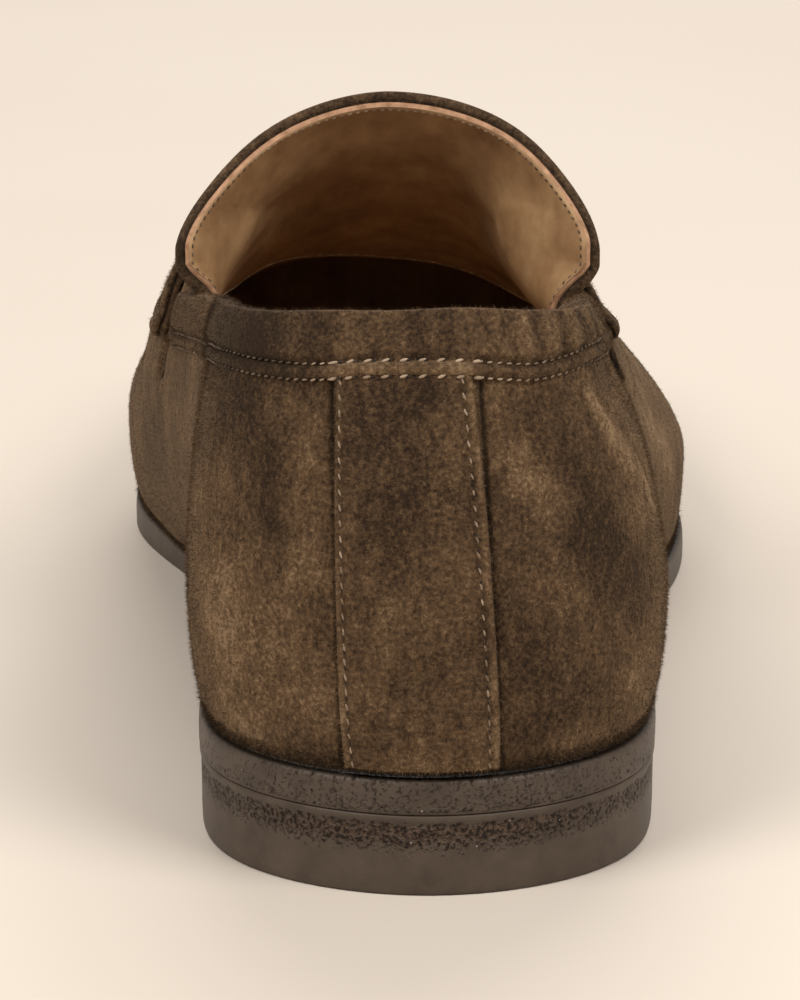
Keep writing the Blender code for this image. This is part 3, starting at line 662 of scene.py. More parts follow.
def on_strip(x, up, by):
    """A point of the back strip's bed: x across, up from the sole to the collar seam, raised by."""
    t = np.interp(x, ring_x, heel_places)
    top = topline_z(t) - tape_depth(t) - TAPE_WIDTH + 0.3
    return raised(t, s_at_height(t, mix(STRIP_FOOT_Z, top, up)), by)


def sewing_inset(side, up):
    """How far the stitches run inside the strip's edge, which differs on the two sides."""
    return 1.5 - 0.6 * up if side < 0 else 1.7 + 0.2 * up


from_edge = half * (1 - np.abs(across))
sewn = np.where(across < 0, sewing_inset(-1, up), sewing_inset(1, up))
channel = bell(from_edge, sewn, 0.45)
waves = 0.08 * np.sin(up * 19) * smooth(from_edge / 4)
cover = STRIP_EDGE + STRIP_RISE * smooth(from_edge / 0.6) - CHANNEL_DEPTH * channel + waves
cover = cover * smooth(up / 0.012 + 0.2)
strip_sheet = on_strip(middle + half * across, up, cover)
bed = on_strip(middle + half * across, up, BED_HEIGHT)
count = cover.size
sheet = quads(*cover.shape)
grid = np.arange(count).reshape(cover.shape)
rim = np.concatenate([grid[:-1, 0], grid[-1, :-1], grid[:0:-1, -1], grid[0, :0:-1]])
walls = np.stack([rim, np.roll(rim, -1), np.roll(rim, -1) + count, rim + count], -1)
# Painted shade at the strip's cut edges and in the thread's channels.
strip_soil = 0.45 * np.exp(-from_edge / 0.35) + 0.25 * channel
# A painted highlight runs along each rounded edge of the strip.
strip_nap = strokes(strip_sheet, NAP_AND_PAINTED_LIGHT) - 0.1 + 0.5 * bell(from_edge, 0.8, 0.5)
strip = add_piece("back_strip", np.concatenate([strip_sheet.reshape(-1, 3), bed.reshape(-1, 3)]),
                  np.concatenate([sheet, sheet[:, ::-1] + count, walls]), [suede],
                  nap=np.tile(strip_nap.ravel(), 2), soil=np.tile(strip_soil.ravel(), 2))
hand_over(strip, "suede", "back_strip")

# %% [markdown]
# ## Saddle strap
# The strap over the instep is two layers of suede sewn back to back, so that its edge shows two round
# lips with a line between them. The same section runs over the whole arch; only its ends are drawn in.

# %% Build the saddle strap
STRAP_WIDTH, STRAP_END_Z, STRAP_TOP_Y = 23.0, 53.0, 152.0
STRAP_END_LATERAL, STRAP_END_MEDIAL = 128.5, 132.0
STRAP_THINNING_LATERAL, STRAP_THINNING_MEDIAL = 0.6, 0.32
STRAP_NAP = -0.25
half_width = STRAP_WIDTH / 2
lips = ((-0.3, 0.3), (0.05, 0.5), (0.15, 0.85), (0.05, 1.2), (-0.4, 1.45), (0.0, 1.65), (0.1, 2.05),
        (-0.05, 2.45), (-0.45, 2.68))
edge_rows = [(-half_width - out, height) for out, height in lips]
top_rows = [(w, 2.72 + 0.12 * math.cos(w / half_width * math.pi / 2)) for w in np.linspace(-10.6, 10.6, 15)]
foot_rows = [(w, 0.3) for w in np.linspace(10.6, -10.6, 8)]
strap_section = np.array(edge_rows + top_rows + [(-w, h) for w, h in reversed(edge_rows)] + foot_rows)
across = np.linspace(-1, 1, 180)[:, None]
strap_end = np.where(across > 0, STRAP_END_LATERAL, STRAP_END_MEDIAL)
y = mix(STRAP_TOP_Y, strap_end, across ** 2) + strap_section[None, :, 0]
strap_t, strap_s = arch_places(y, STRAP_END_Z, across)
thinning = np.where(across > 0, STRAP_THINNING_LATERAL, STRAP_THINNING_MEDIAL)
fold_over = 0.5 * smooth((-strap_section[:, 0] - 3) / 5) * bell(1 - np.abs(across), 0.03, 0.03)
share = 1 - thinning * smooth((np.abs(across) - 0.88) / 0.1) + fold_over
loops = raised(strap_t, strap_s, strap_section[None, :, 1] * share)
loops = tapered_ends(loops, (0.0, 0.75, 0.93))
# Painted shade in the line between the two lips.
lip_shade = bell(strap_section[:, 1], 1.45, 0.25) * (np.abs(strap_section[:, 0]) > half_width - 0.6)
strap_sheet = loops[3:-3, :-len(foot_rows)]
strap = add_piece("saddle_strap", loops, quads(*loops.shape[:2], close_columns=True), [suede],
                  nap=STRAP_NAP, soil=0.6 * lip_shade)
hand_over(strap, "suede", "saddle_strap")

# %% [markdown]
# ## Tongue
# The tongue rises out of the vamp, flares over the collar and shows its lining to the back. Its cut rim
# has two layers, dark suede and orange raw leather. Each section runs along the outside to the rim, round
# the two layers and back along the lining, so that a face's place in the section tells its material.

# %% The tongue's rim and form
TONGUE_GAP, LIP_REACH, LIP_CURVE, OUTSIDE_POINTS = 1.7, 0.34, 1.6, 56
RIM_MIDDLE_X, RIM_TOP_Y, RIM_TOP_Z, RIM_ARCH_SHARE = -6.5, 131.0, 93.3, 0.72
RIM_FULLNESS_LATERAL, RIM_FULLNESS_MEDIAL = 1.94, 1.77
# Below the arch: across, distance from the middle, y and z.
RIM_TURN = np.array(((0.72, 34.3, 115.3, 70.5), (0.77, 34.3, 114.8, 67.9), (0.82, 33.1, 114.2, 65.4),
                     (0.87, 30.8, 113.6, 63.2), (0.92, 29.2, 113.2, 60.8), (0.96, 28.6, 113.0, 58.5),
                     (1.00, 28.3, 113.0, 55.0)))


def rim_point(across):
    """The rim's distance from its middle, y and z at a share of the way from the top to a foot."""
    fullness = np.where(across > 0, RIM_FULLNESS_LATERAL, RIM_FULLNESS_MEDIAL)
    across = np.abs(across)
    widest = RIM_TURN[0, 1:]
    angle = np.clip(across / RIM_ARCH_SHARE, 0, 1) * math.pi / 2
    over, rise = np.sin(angle) ** (2 / fullness), np.cos(angle) ** (2 / fullness)
    flat = 1.4 * (bell(angle, 1.05, 0.38) - 0.15 * (angle / 1.57) ** 8)
    arch = (widest[0] * over - flat, mix(widest[1], RIM_TOP_Y, rise), mix(widest[2], RIM_TOP_Z, rise))
    turn = [profile(RIM_TURN[:, (0, k)], across) for k in (1, 2, 3)]
    return [np.where(across < RIM_ARCH_SHARE, a, b) for a, b in zip(arch, turn)]


across = np.linspace(-1, 1, 161)[:, None]
back = np.linspace(0, 1, OUTSIDE_POINTS)[None, :]
rim_out, rim_y, rim_z = rim_point(across)
# Where the lining ends inside the vamp: across, y.
LINING_FRONT = (
    (-1.0, 143), (-0.9, 152), (-0.8, 161), (-0.7, 170), (-0.6, 175.5), (-0.5, 178.5), (-0.4, 182),
    (-0.3, 186), (-0.2, 190), (-0.1, 194), (0.0, 197), (0.15, 199), (0.3, 200), (0.45, 199), (0.6, 195),
    (0.7, 188), (0.8, 176), (0.9, 158), (1.0, 145),
)
front_y = profile(LINING_FRONT, across)
y = mix(front_y, rim_y, back)
tongue_t, tongue_s = arch_places(y, 55.0 - 16.0 * smooth((y - 135) / 65), across)
bed = raised(tongue_t, tongue_s, -WALL - TONGUE_GAP)
rim = np.stack([RIM_MIDDLE_X + np.sign(across) * rim_out, rim_y, rim_z], axis=-1)
lip = np.clip((back - 1 + LIP_REACH) / LIP_REACH, 0, 1) ** LIP_CURVE
outer = bed + (rim - bed[:, -1:]) * lip[..., None]
tongue_out = unit(np.cross(np.gradient(outer, axis=0), np.gradient(outer, axis=1)))
# The way out points away from the middle of the foot, seen from behind.
foot_middle = np.array((RIM_MIDDLE_X, 0.0, 45.0))
if np.sum((tongue_out * (outer - foot_middle))[..., ::2]) < 0:
    tongue_out = -tongue_out
rim_way = unit(outer[:, -1] - outer[:, -2])
print("tongue rim from", outer[:, -1].min(axis=0).round(1), "to", outer[:, -1].max(axis=0).round(1))

# %% Build the tongue
# Steps round the rim: out along the sheet and down through its thickness.
RIM_STEPS = np.array(((0.25, 0.05), (0.45, 0.35), (0.50, 0.85), (0.44, 1.35), (0.20, 1.72), (-0.15, 1.86),
                      (-0.06, 1.96), (0.05, 2.15), (0.05, 2.50), (-0.1, 2.74)))
round_rim = (outer[:, -1:] + RIM_STEPS[None, :, :1] * rim_way[:, None]
             - RIM_STEPS[None, :, 1:] * tongue_out[:, -1:])
thickness = 2.4 + 0.4 * smooth((back - 0.9) / 0.1)
inner = (outer - thickness[..., None] * tongue_out)[:, ::-1]
section = np.concatenate([outer, round_rim, inner], axis=1)
raw_from, lining_from = OUTSIDE_POINTS + 5, OUTSIDE_POINTS + len(RIM_STEPS)
tongue_sheet = section[:, raw_from - 25:raw_from]
rows, columns = section.shape[:2]
station = np.arange(columns)
layer = np.select([station < raw_from, station < lining_from, station < columns - 1], [0, 2, 1], 0)
ends = [range(columns), range(rows * columns - 1, (rows - 1) * columns - 1, -1)]
# Painted shade: the tongue's suede is darkened all over, most where it meets the raw edge.
rim_shade = bell(station, raw_from - 0.5, 1.5)
faces = [*quads(rows, columns, close_columns=True), *ends]
tongue = add_piece("tongue", section, faces, [suede, lining, cut_edge], nap=STRAP_NAP,
                   soil=0.15 + 0.5 * rim_shade, face_material=[*np.tile(layer, rows - 1), 0, 0])
hand_over(tongue, "suede", "tongue")

# %% [markdown]
# ## Sole, heel and sock
# The sole's edge is painted and waxed to a dark satin. Where the heel block meets the sole a rough, matt
# band has been left, with grit in it. The blocks are rings of the outline stacked up; the edge's round
# profile is a short table, because its narrow highlights show how thick the sole is.

# %% Sole material
sole_edge, tree, bsdf, spot = new_material("waxed_sole_edge")
rough = node(tree, "Attribute", out="Fac", attribute_name="rough")
shadowed = node(tree, "Attribute", out="Fac", attribute_name="soil")
drift = node(tree, "TexNoise", {"Vector": spot, "Scale": per(6), "Detail": 5.0, "Roughness": 0.65})
grit = node(tree, "TexNoise", {"Vector": spot, "Scale": per(0.6), "Detail": 2.0, "Roughness": 0.6})
ragged = node(tree, "Math", {0: grit, 1: 1.3, 2: -0.65}, operation="MULTIPLY_ADD")
ragged = node(tree, "Math", {0: ragged, 1: rough}, operation="ADD")
matt = node(tree, "MapRange", {"Value": ragged, "From Min": 0.34, "From Max": 0.72})
wax = node(tree, "ValToRGB", {"Fac": drift}, stops=((0.3, "#41362d"), (0.75, "#56493e")))
crumb = node(tree, "ValToRGB", {"Fac": grit}, stops=((0.36, "#5e4a3b"), (0.60, "#1d140e")))
body = node(tree, "MixRGB", {"Fac": matt, "Color1": wax, "Color2": crumb})
# Pale specks, grains of dust and painted glints, lie in about half of the cells, and only where the edge is
# rough.
cells = node(tree, "TexVoronoi", {"Vector": spot, "Scale": per(2.0)})
pale_specks = node(tree, "MapRange", {"Value": cells, "From Min": 0.075, "From Max": 0.05})
chosen = node(tree, "SeparateColor", {"Color": cells.node.outputs["Color"]})
chosen = node(tree, "Math", {0: chosen, 1: 0.5}, operation="GREATER_THAN")
near = node(tree, "MapRange", {"Value": rough, "From Min": 0.1, "From Max": 0.4})
for share in (chosen, near):
    pale_specks = node(tree, "Math", {0: pale_specks, 1: share}, operation="MULTIPLY")
speckled = node(tree, "MixRGB", {"Fac": pale_specks, "Color1": body, "Color2": linear("#a2978b")})
shaded = node(tree, "MixRGB", {"Fac": shadowed, "Color1": speckled, "Color2": linear("#0d0906")})
gloss = node(tree, "MapRange", {"Value": matt, "To Min": 0.48, "To Max": 0.9})
depth = node(tree, "MapRange", {"Value": matt, "To Min": 0.06, "To Max": 1.0})
height = node(tree, "Math", {0: grit, 1: depth}, operation="MULTIPLY")
bump = node(tree, "Bump", {"Height": height, "Strength": 0.8, "Distance": 0.6 * MM})
plug(bsdf, {"Base Color": shaded, "Normal": bump, "Roughness": gloss, "Specular IOR Level": 0.3})
print("material", sole_edge.name)


# %% Build the sole, the heel and the sock
def stack(name, loops, materials, **attributes):
    """A solid through rings of equal count, bottom to top, closed across by rungs from side to side."""
    levels, count = loops.shape[:2]
    faces = quads(levels, count, close_columns=True).tolist()
    for base in (0, (levels - 1) * count):
        for i in range(count // 2):
            rung = dict.fromkeys((i, i + 1, (count - i - 1) % count, (count - i) % count))
            faces.append([base + k for k in rung])
    return add_piece(name, loops, faces, materials, **attributes)


def ring_loops(t, steps, floor):
    """Rings of the outline; each step is an inset and a height over the floor line."""
    return np.stack([np.column_stack([edge(t, inset), floor + height]) for inset, height in steps])


around = np.arange(KNOTS * 8) / 8
under_z = profile(UNDERSIDE, on_ring(around)[:, 1])
# Steps up an edge: inset from the outline and height.
SOLE_STEPS = (
    (6.0, 0.2), (2.2, 0.1), (0.8, 0.0), (0.28, 0.02), (0.1, 0.1), (0.0, 0.3), (-0.03, 0.6), (-0.06, 2.6),
    (0.0, 4.1), (0.06, 4.55), (0.25, 4.95), (0.6, 5.16), (1.0, 5.2), (2.4, 5.2), (7.0, 5.2),
)
loops = ring_loops(around, SOLE_STEPS, under_z)
insets, heights = np.array(SOLE_STEPS).T[:, :, None]
at_heel = smooth((82 - on_ring(around)[:, 1]) / 12)
at_back = smooth((16 - on_ring(around)[:, 1]) / 12)
low_line = 0.12 * bell(heights, 0.9, 0.9) - 0.2 * (heights < 0.4)
sole_rough = at_heel * (0.24 + 0.1 * at_back + low_line)
# Painted shade on the top ledge, where the upper overhangs it.
ledge_shade = smooth((insets - 0.15) / 0.8) * (heights > 4.7) * 0.9
hand_over(stack("outsole", loops, [sole_edge], rough=sole_rough, soil=ledge_shade), "sole", "outsole")

HEEL_LENGTH, HEEL_TOP = 76.0, SEAT_HEIGHT - SOLE_THICKNESS - GAP
heel_end = t_at(HEEL_LENGTH, 1)
heel_t = np.linspace(-heel_end, heel_end, 161)
breast_share = np.linspace(0, 1, 24)[1:-1, None]


def heel_loop(inset, z):
    """A ring of the heel at height z: round its back and across its hollow front."""
    wall = edge(heel_t, inset)
    breast = mix(wall[-1], wall[0], breast_share)
    breast[:, 1] -= 4.0 * np.sin(math.pi * breast_share[:, 0])
    back = len(wall) // 2
    ring = np.concatenate([wall[back:], breast, wall[:back]])
    return np.column_stack([ring, np.full(len(ring), z)])


HEEL_STEPS = [(0.95, 0.0), (0.7, 0.06), (0.48, 0.25), (0.4, 0.6), (0.38, 1.5)]
HEEL_STEPS += [(0.36 - 0.1 * z / 12, z) for z in np.linspace(2.5, 10.8, 16)]
HEEL_STEPS += [(0.14, 11.05), (0.04, 11.35), (0.05, 11.7), (0.12, 11.98), (0.3, 12.14)]
HEEL_STEPS += [(0.9, HEEL_TOP + 0.25)]
loops = np.stack([heel_loop(inset, z) for inset, z in HEEL_STEPS])
to_back = 0.35 * smooth((46 - loops[..., 1]) / 40) + 0.65 * smooth((14 - loops[..., 1]) / 12)
ragged_top = 11.3 + 0.2 * np.sin(loops[..., 0] * 1.7) + 0.15 * np.sin(loops[..., 0] * 4.1 + 1)
in_band = smooth((loops[..., 2] - 4.6) / 4.6) * smooth((ragged_top - loops[..., 2]) / 0.6)
heel_rough = (0.38 + 0.34 * to_back) * in_band
hand_over(stack("heel", loops, [sole_edge], rough=heel_rough, soil=0.0), "sole", "heel")

around = np.arange(KNOTS * 6) / 6
sock_z = profile(UNDERSIDE, on_ring(around)[:, 1]) + SOLE_THICKNESS + GAP
SOCK_STEPS = ((4.9, 0.0), (4.8, 0.5), (4.8, 1.5), (5.1, 2.1), (5.9, 2.38), (8.0, 2.4))
# In the arch the upper leaves the sole's edge outwards, and the sock follows it.
loops = ring_loops(around, SOCK_STEPS, sock_z)
follow = 2.3 * smooth((on_ring(around)[:, 2] - 2.5) / 7)
loops[..., :2] += follow[:, None] * outward(around)
hand_over(stack("insole", loops, [lining]), "lining", "insole")

# %% [markdown]
# ## Stitches
# Each row is one thread that dips through the leather at an even pitch, so only short grains of it show.
# Modelling them by hand would never end. A Geometry Nodes tree walks along a line, sets a grain at every
# pitch, lays it along the line and presses it against the surface, and stores a random tone for the thread.

# %% Thread material
# Linen thread is pale and dull, and each grain of it lies a little differently.
thread, tree, bsdf, spot = new_material("linen_thread")
grain = node(tree, "Attribute", out="Fac", attribute_name="tone")
# The light attribute is painted light: painted highlights on the stitches over the back strip and at the
# tongue's top, and painted shade for the needle holes.
light = node(tree, "Attribute", out="Fac", attribute_name="light")
lie = node(tree, "TexNoise", {"Vector": spot, "Scale": per(14), "Detail": 2.0})
mixed = node(tree, "Math", {0: lie, 1: 0.5, 2: grain}, operation="MULTIPLY_ADD")
mixed = node(tree, "Math", {0: mixed, 1: light}, operation="ADD")
colour = node(tree, "ValToRGB", {"Fac": mixed}, stops=(
    (0.0, "#1c130d"), (1.0, "#c8b199"), (0.3, "#4a3a2c"), (0.6, "#85705c")))
plug(bsdf, {"Base Color": colour, "Roughness": 0.8})
print("material", thread.name)


# %% A Geometry Nodes tree that sews a row
def new_tree(name, **inputs):
    """A Geometry Nodes tree with named inputs; gives the tree, the inputs' outlets and their identifiers."""
    tree = bpy.data.node_groups.new(name, "GeometryNodeTree")
    tree.interface.new_socket("Geometry", in_out="OUTPUT", socket_type="NodeSocketGeometry")
    names = {}
    for key, kind in {"Geometry": "Geometry", **inputs}.items():
        socket = tree.interface.new_socket(key, in_out="INPUT", socket_type="NodeSocket" + kind)
        names[key] = socket.identifier
    return tree, tree.nodes.new("NodeGroupInput").outputs, names


def close_tree(tree, instances, attribute, value, material):
    """Keeps a number on each instance, makes the instances real and gives them their material."""
    kept = node(tree, "StoreNamedAttribute", {"Geometry": instances, "Name": attribute, "Value": value},
                domain="INSTANCE")
    real = node(tree, "RealizeInstances", {"Geometry": kept})
    dyed = node(tree, "SetMaterial", {"Geometry": real, "Material": material})
    plug(tree.nodes.new("NodeGroupOutput"), {"Geometry": dyed})


def run_tree(piece, tree, names, **values):
    """Runs a tree on a piece with values for its inputs and keeps the result as a plain mesh."""
    growth = piece.modifiers.new(tree.name, "NODES")
    growth.node_group = tree
    for key, value in values.items():
        growth[names[key]] = value
    return settle(piece)


SEWING, given, SEWING_NAMES = new_tree(
    "sewn_row", Pitch="Float", Length="Float", Thickness="Float", Seed="Int", Thread="Material")
line = node(SEWING, "MeshToCurve", {"Mesh": given["Geometry"]})
even = node(SEWING, "ResampleCurve", {"Curve": line, "Length": given["Pitch"]}, mode="LENGTH")
along = node(SEWING, "InputTangent")
away = node(SEWING, "InputNamedAttribute", {"Name": "out"}, data_type="FLOAT_VECTOR")
lay = node(SEWING, "AlignRotationToVector", {"Vector": along}, axis="X")
press = node(SEWING, "AlignRotationToVector", {"Rotation": lay, "Vector": away}, axis="Z", pivot_axis="X")
angle = node(SEWING, "RandomValue", {0: (0, 0, 0.08), 1: (0, 0, 0.38), "Seed": given["Seed"]},
             data_type="FLOAT_VECTOR")
turned = node(SEWING, "EulerToRotation", {"Euler": angle})
slant = node(SEWING, "RotateRotation", {"Rotation": press, "Rotate By": turned}, rotation_space="LOCAL")
grain = node(SEWING, "MeshUVSphere", {"Segments": 8, "Rings": 5, "Radius": 0.5})
size = node(SEWING, "CombineXYZ", {"X": given["Length"], "Y": given["Thickness"], "Z": given["Thickness"]})
sewn = node(SEWING, "InstanceOnPoints", {"Points": even, "Instance": grain, "Rotation": slant, "Scale": size})
own_tone = node(SEWING, "RandomValue", {2: -0.12, 3: 0.12, "Seed": given["Seed"]}, out=1)
close_tree(SEWING, sewn, "tone", own_tone, given["Thread"])


def sew(name, rows, pitch, length, thickness, seed):
    """Sews grains along rows; a row is its points, the ways out of the surface and the thread's light."""
    mesh = bpy.data.meshes.new(name)
    points, ways, light = (np.concatenate(values) for values in zip(*rows))
    row_of = np.repeat(np.arange(len(rows)), [len(row[0]) for row in rows])
    joined = np.flatnonzero(np.diff(row_of) == 0)
    mesh.from_pydata(((points + SHIFT) * MM).tolist(), np.column_stack([joined, joined + 1]).tolist(), [])
    out = mesh.attributes.new("out", "FLOAT_VECTOR", "POINT")
    out.data.foreach_set("vector", ways.astype(np.float32).ravel())
    mesh.attributes.new("light", "FLOAT", "POINT").data.foreach_set("value", light.astype(np.float32))
    piece = new_object(name, mesh)
    run_tree(piece, SEWING, SEWING_NAMES, Pitch=pitch * MM, Length=length * MM, Thickness=thickness * MM,
             Seed=seed, Thread=thread)
    piece.data.shade_smooth()
    hand_over(piece, "lining")


print("tree", SEWING.name)

# %% Sew the rows
BAND_PITCH, STRIP_PITCH, STRIP_THREAD, HOLE_LIGHT = 2.4, 2.2, 0.98, -0.25
INSIDE_ENDS = slice(6, -6)


def band_line(depth, height):
    """A sewing row along the band, with a painted highlight over the back strip."""
    s = s_at_height(band_t, top_z - depth)
    points = raised(band_t, s, height)[INSIDE_ENDS, 0]
    light = 0.12 + 0.36 * smooth((24 - np.abs(points[:, 0] + 2)) / 14)
    return points, skin_normal(band_t, s)[INSIDE_ENDS, 0], light


def holes(rows, pitch):
    """The same rows begun half a pitch later and left dark, as painted shade for the needle holes between the
    grains.
    """
    moved = []
    for points, ways, _ in rows:
        start = points[:1] + unit(points[1] - points[0]) * pitch / 2
        dark = np.full(len(points) - 1, HOLE_LIGHT)
        moved.append((np.concatenate([start, points[2:]]), np.delete(ways, 1, 0), dark))
    return moved


band_lines = (band_line(tape_top - 0.15, 0.62 + 0.55 * over_strip),
              band_line(tape_top + TAPE_WIDTH + 0.1, 0.42 + 0.98 * over_strip))
crossing = np.flatnonzero(over_strip[INSIDE_ENDS, 0] > 0.5)
first, last = crossing[0], crossing[-1] + 1
middle_rows = [[values[first:last] for values in row] for row in band_lines]
sides = (slice(first), slice(last, None))
side_rows = [[values[part] for values in row] for row in band_lines for part in sides]
sew("collar_stitches", middle_rows, pitch=BAND_PITCH, length=1.35, thickness=0.52, seed=3)
sew("collar_side_stitches", side_rows, pitch=1.45, length=0.95, thickness=0.36, seed=8)
sew("collar_holes", holes(middle_rows, BAND_PITCH), pitch=BAND_PITCH, length=0.85, thickness=0.38, seed=4)

strip_rows = []
for side in (-1, 1):
    up = np.linspace(0.02, 0.985, 80)
    middle, half = strip_span(mix(STRIP_FOOT_Z, STRIP_TOP_Z, up))
    x = middle + side * (half - sewing_inset(side, up))
    low, high = on_strip(x, up, STRIP_THREAD), on_strip(x, up, STRIP_THREAD + 1)
    strip_rows.append((low, high - low, np.full(len(up), 0.42)))
sew("strip_stitches", strip_rows, pitch=STRIP_PITCH, length=1.35, thickness=0.42, seed=5)
sew("strip_holes", holes(strip_rows, STRIP_PITCH), pitch=STRIP_PITCH, length=0.85, thickness=0.38, seed=6)

rim_row = 0.2 * inner[:, 0] + 0.8 * inner[:, 1]
# Painted highlight: the rim's stitches are lighter higher up.
rim_light = 0.05 + 0.5 * smooth((rim_row[:, 2] - 80) / 10)
rim_rows = [(rim_row, -tongue_out[:, -2], rim_light)]
sew("tongue_stitches", rim_rows, pitch=1.35, length=0.8, thickness=0.4, seed=7)
front_row, front_ways = inner[12:-12, -3], -tongue_out[12:-12, 2]
seam_rows = [(front_row, front_ways, np.full(len(front_row), 0.55))]
sew("lining_seam", seam_rows, pitch=1.2, length=1.3, thickness=0.45, seed=9)

# %% [markdown]
# ## Standing nap
# Single fibres stand out of suede. They blur its outline and hide the line where it meets the sole. Particle
# hair would do, but it is not a mesh. A second Geometry Nodes tree scatters thin three-sided cones over
# a sheet, leans them about and gives each a tone of its own. They are drawn thicker than real fibres.

# %% A Geometry Nodes tree that grows the nap
FIBRE_THICKNESS = 0.085
GROWING, given, GROWING_NAMES = new_tree(
    "standing_nap", Density="Float", Length="Float", Thickness="Float", Seed="Int", Suede="Material")
share = node(GROWING, "InputNamedAttribute", {"Name": "pile"})
density = node(GROWING, "Math", {0: given["Density"], 1: share}, operation="MULTIPLY")
roots = node(GROWING, "DistributePointsOnFaces",
             {"Mesh": given["Geometry"], "Density": density, "Seed": given["Seed"]})
askew = node(GROWING, "RandomValue", {0: (-1.1, -1.1, -1.5), 1: (1.1, 1.1, 0.9), "Seed": 1},
             data_type="FLOAT_VECTOR")
lean = node(GROWING, "VectorMath", {0: roots.node.outputs["Normal"], 1: askew}, operation="ADD")
stand = node(GROWING, "AlignRotationToVector", {"Vector": lean}, axis="Z")
fibre = node(GROWING, "MeshCone", {"Vertices": 3, "Radius Bottom": 0.5, "Depth": 1.0}, fill_type="NONE")
growth = node(GROWING, "RandomValue", {2: 0.4, 3: 1.2, "Seed": 2}, out=1)
length = node(GROWING, "Math", {0: given["Length"], 1: growth}, operation="MULTIPLY")
size = node(GROWING, "CombineXYZ", {"X": given["Thickness"], "Y": given["Thickness"], "Z": length})
grown = node(GROWING, "InstanceOnPoints",
             {"Points": roots, "Instance": fibre, "Rotation": stand, "Scale": size})
under = node(GROWING, "InputNamedAttribute", {"Name": "nap"})
own_tone = node(GROWING, "RandomValue", {2: -0.9, 3: 1.1, "Seed": 3}, out=1)
tone = node(GROWING, "Math", {0: under, 1: own_tone}, operation="ADD")
close_tree(GROWING, grown, "nap", tone, given["Suede"])


def grow_nap(name, sheet, density, length, seed, pile=1.0, nap=STRAP_NAP, soil=0.0, close_rows=False):
    """Grows fibres over a sheet, density to a square millimetre; pile is the share of it at each point."""
    piece = add_piece(name, sheet, quads(*sheet.shape[:2], close_rows=close_rows), [suede], closed=False,
                      pile=pile, nap=nap, soil=soil)
    run_tree(piece, GROWING, GROWING_NAMES, Density=density / MM ** 2, Length=length * MM,
             Thickness=FIBRE_THICKNESS * MM, Seed=seed, Suede=suede)
    hand_over(piece, "suede")


print("tree", GROWING.name)

# %% Grow the nap
QUARTER_FRONT = 75.0
pile = np.where(bare, 0.0, 1 + 2.5 * np.exp(-over_sole / 1.2))
at_back = upper_sheet[..., 1] < QUARTER_FRONT
# The fibres carry the upper's painted shade.
around_upper = {"nap": upper_nap, "soil": 0.6 * upper_soil, "close_rows": True}
grow_nap("quarter_nap", upper_sheet, density=4.2, length=0.75, seed=11, pile=pile * at_back, **around_upper)
grow_nap("vamp_nap", upper_sheet, density=1.0, length=0.5, seed=16, pile=pile * ~at_back, **around_upper)
# The fringe over the sole line is darkened with painted shade.
grow_nap("feather_fringe", upper_sheet[:, :6], density=12.0, length=1.25, seed=17, nap=-0.6, soil=0.35,
         close_rows=True)
grow_nap("band_nap", band_face, density=4.2, length=0.7, seed=12, nap=band_nap)
grow_nap("strip_nap", strip_sheet, density=4.5, length=0.75, seed=13, nap=strip_nap)
grow_nap("strap_nap", strap_sheet, density=2.2, length=0.7, seed=14)
grow_nap("tongue_nap", tongue_sheet, density=3.0, length=0.6, seed=15)

# %% [markdown]
# ## Floor, light and camera
# The shoe stands on a seamless cream floor in soft, even light. The camera stands about 0.7 m behind the
# heel and looks down at it by about 15 degrees; a long lens frames the shoe.

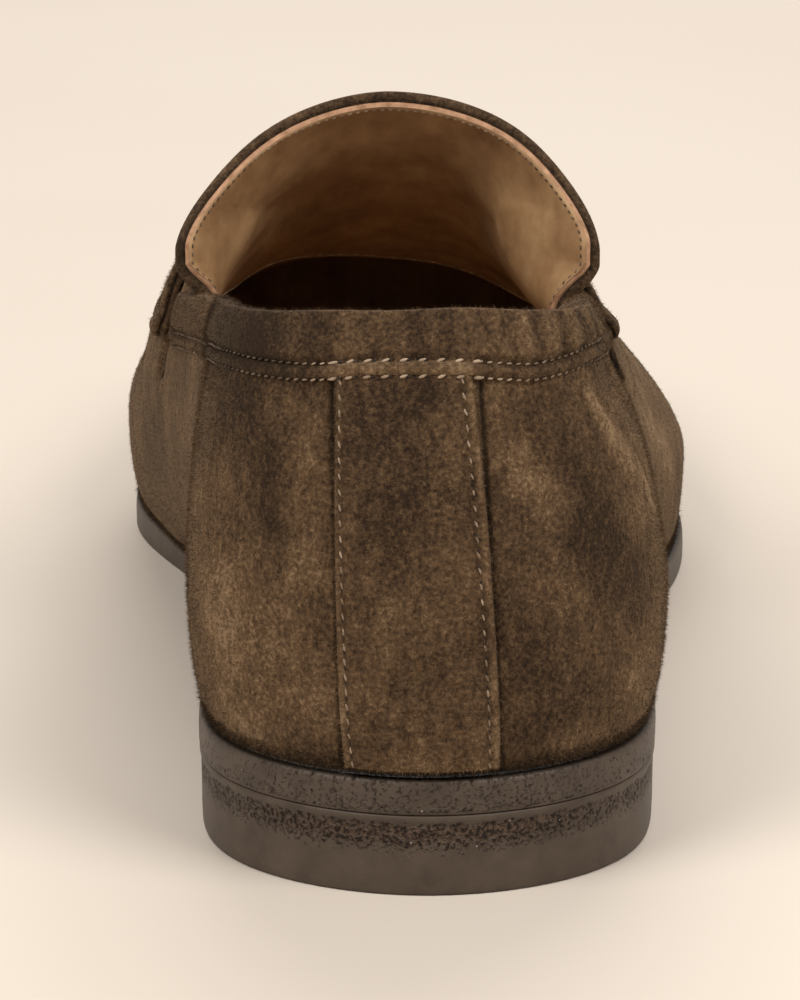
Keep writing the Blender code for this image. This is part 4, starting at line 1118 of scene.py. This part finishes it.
# %% Floor and light
# Paper is matt and even; a faint cloud keeps it from looking like plastic.
paper, tree, bsdf, spot = new_material("seamless_paper")
cloud = node(tree, "TexNoise", {"Vector": spot, "Scale": per(300), "Detail": 2.0})
cream = node(tree, "ValToRGB", {"Fac": cloud}, stops=((0.3, "#cbc0b4"), (0.7, "#cfc5ba")))
plug(bsdf, {"Base Color": cream, "Roughness": 0.75})
floor_mesh = bpy.data.meshes.new("floor")
floor_mesh.from_pydata([(-4, -4, 0), (4, -4, 0), (4, 8, 0), (-4, 8, 0)], [], [(0, 1, 2, 3)])
floor_mesh.materials.append(paper)
floor = new_object("floor", floor_mesh)

world = bpy.data.worlds.new("soft_room")
bpy.context.scene.world = world
world.use_nodes = True
plug(world.node_tree.nodes["Background"], {"Color": linear("#fffdf8"), "Strength": 0.37})

# Round soft lamps: name, place and aim in metres, size in metres and power in watts.
LAMPS = (
    ("left_window", (-0.75, -0.75, 1.2), (0, -0.05, 0.05), 0.8, 14),
    ("right_window", (0.75, -0.7, 1.2), (0, -0.05, 0.05), 0.8, 14),
    ("back_sky", (0.1, 1.5, 1.6), (0, 0.3, 0), 1.6, 29),
)
for name, place, aim, size, power in LAMPS:
    light = bpy.data.lights.new(name, "AREA")
    light.shape, light.size, light.energy, light.color = "DISK", size, power, linear("#fffaf4")[:3]
    lamp = new_object(name, light)
    lamp.location = place
    east, north, up = np.subtract(aim, place)
    lamp.rotation_euler = (math.acos(-up / math.hypot(east, north, up)), 0, math.atan2(-east, north))
print("floor and", len(LAMPS), "lamps")

# %% Camera
# The lens in pixels on a picture 1000 high, and how far the shoe is enlarged. The eye's place is in
# millimetres, its turn in degrees.
LENS_PIXELS, ZOOM, PICTURE_HEIGHT, SENSOR = 2324.0, 2.1, 1000, 36.0
EYE_BEHIND_HEEL, EYE_HEIGHT, LOOK_DOWN, LOOK_ASIDE = 659.8, 233.7, 14.85, 0.33
camera = bpy.data.cameras.new("rear_view")
camera.sensor_width = SENSOR
camera.lens = SENSOR * LENS_PIXELS * ZOOM / PICTURE_HEIGHT
eye = new_object("rear_view", camera)
eye.location = (SHIFT[0] * MM, (SHIFT[1] - EYE_BEHIND_HEEL) * MM, EYE_HEIGHT * MM)
eye.rotation_euler = (math.radians(90 - LOOK_DOWN), 0, math.radians(LOOK_ASIDE))
bpy.context.scene.camera = eye
bpy.context.scene.view_settings.view_transform = "Standard"
print("camera at", [round(v, 4) for v in eye.location])
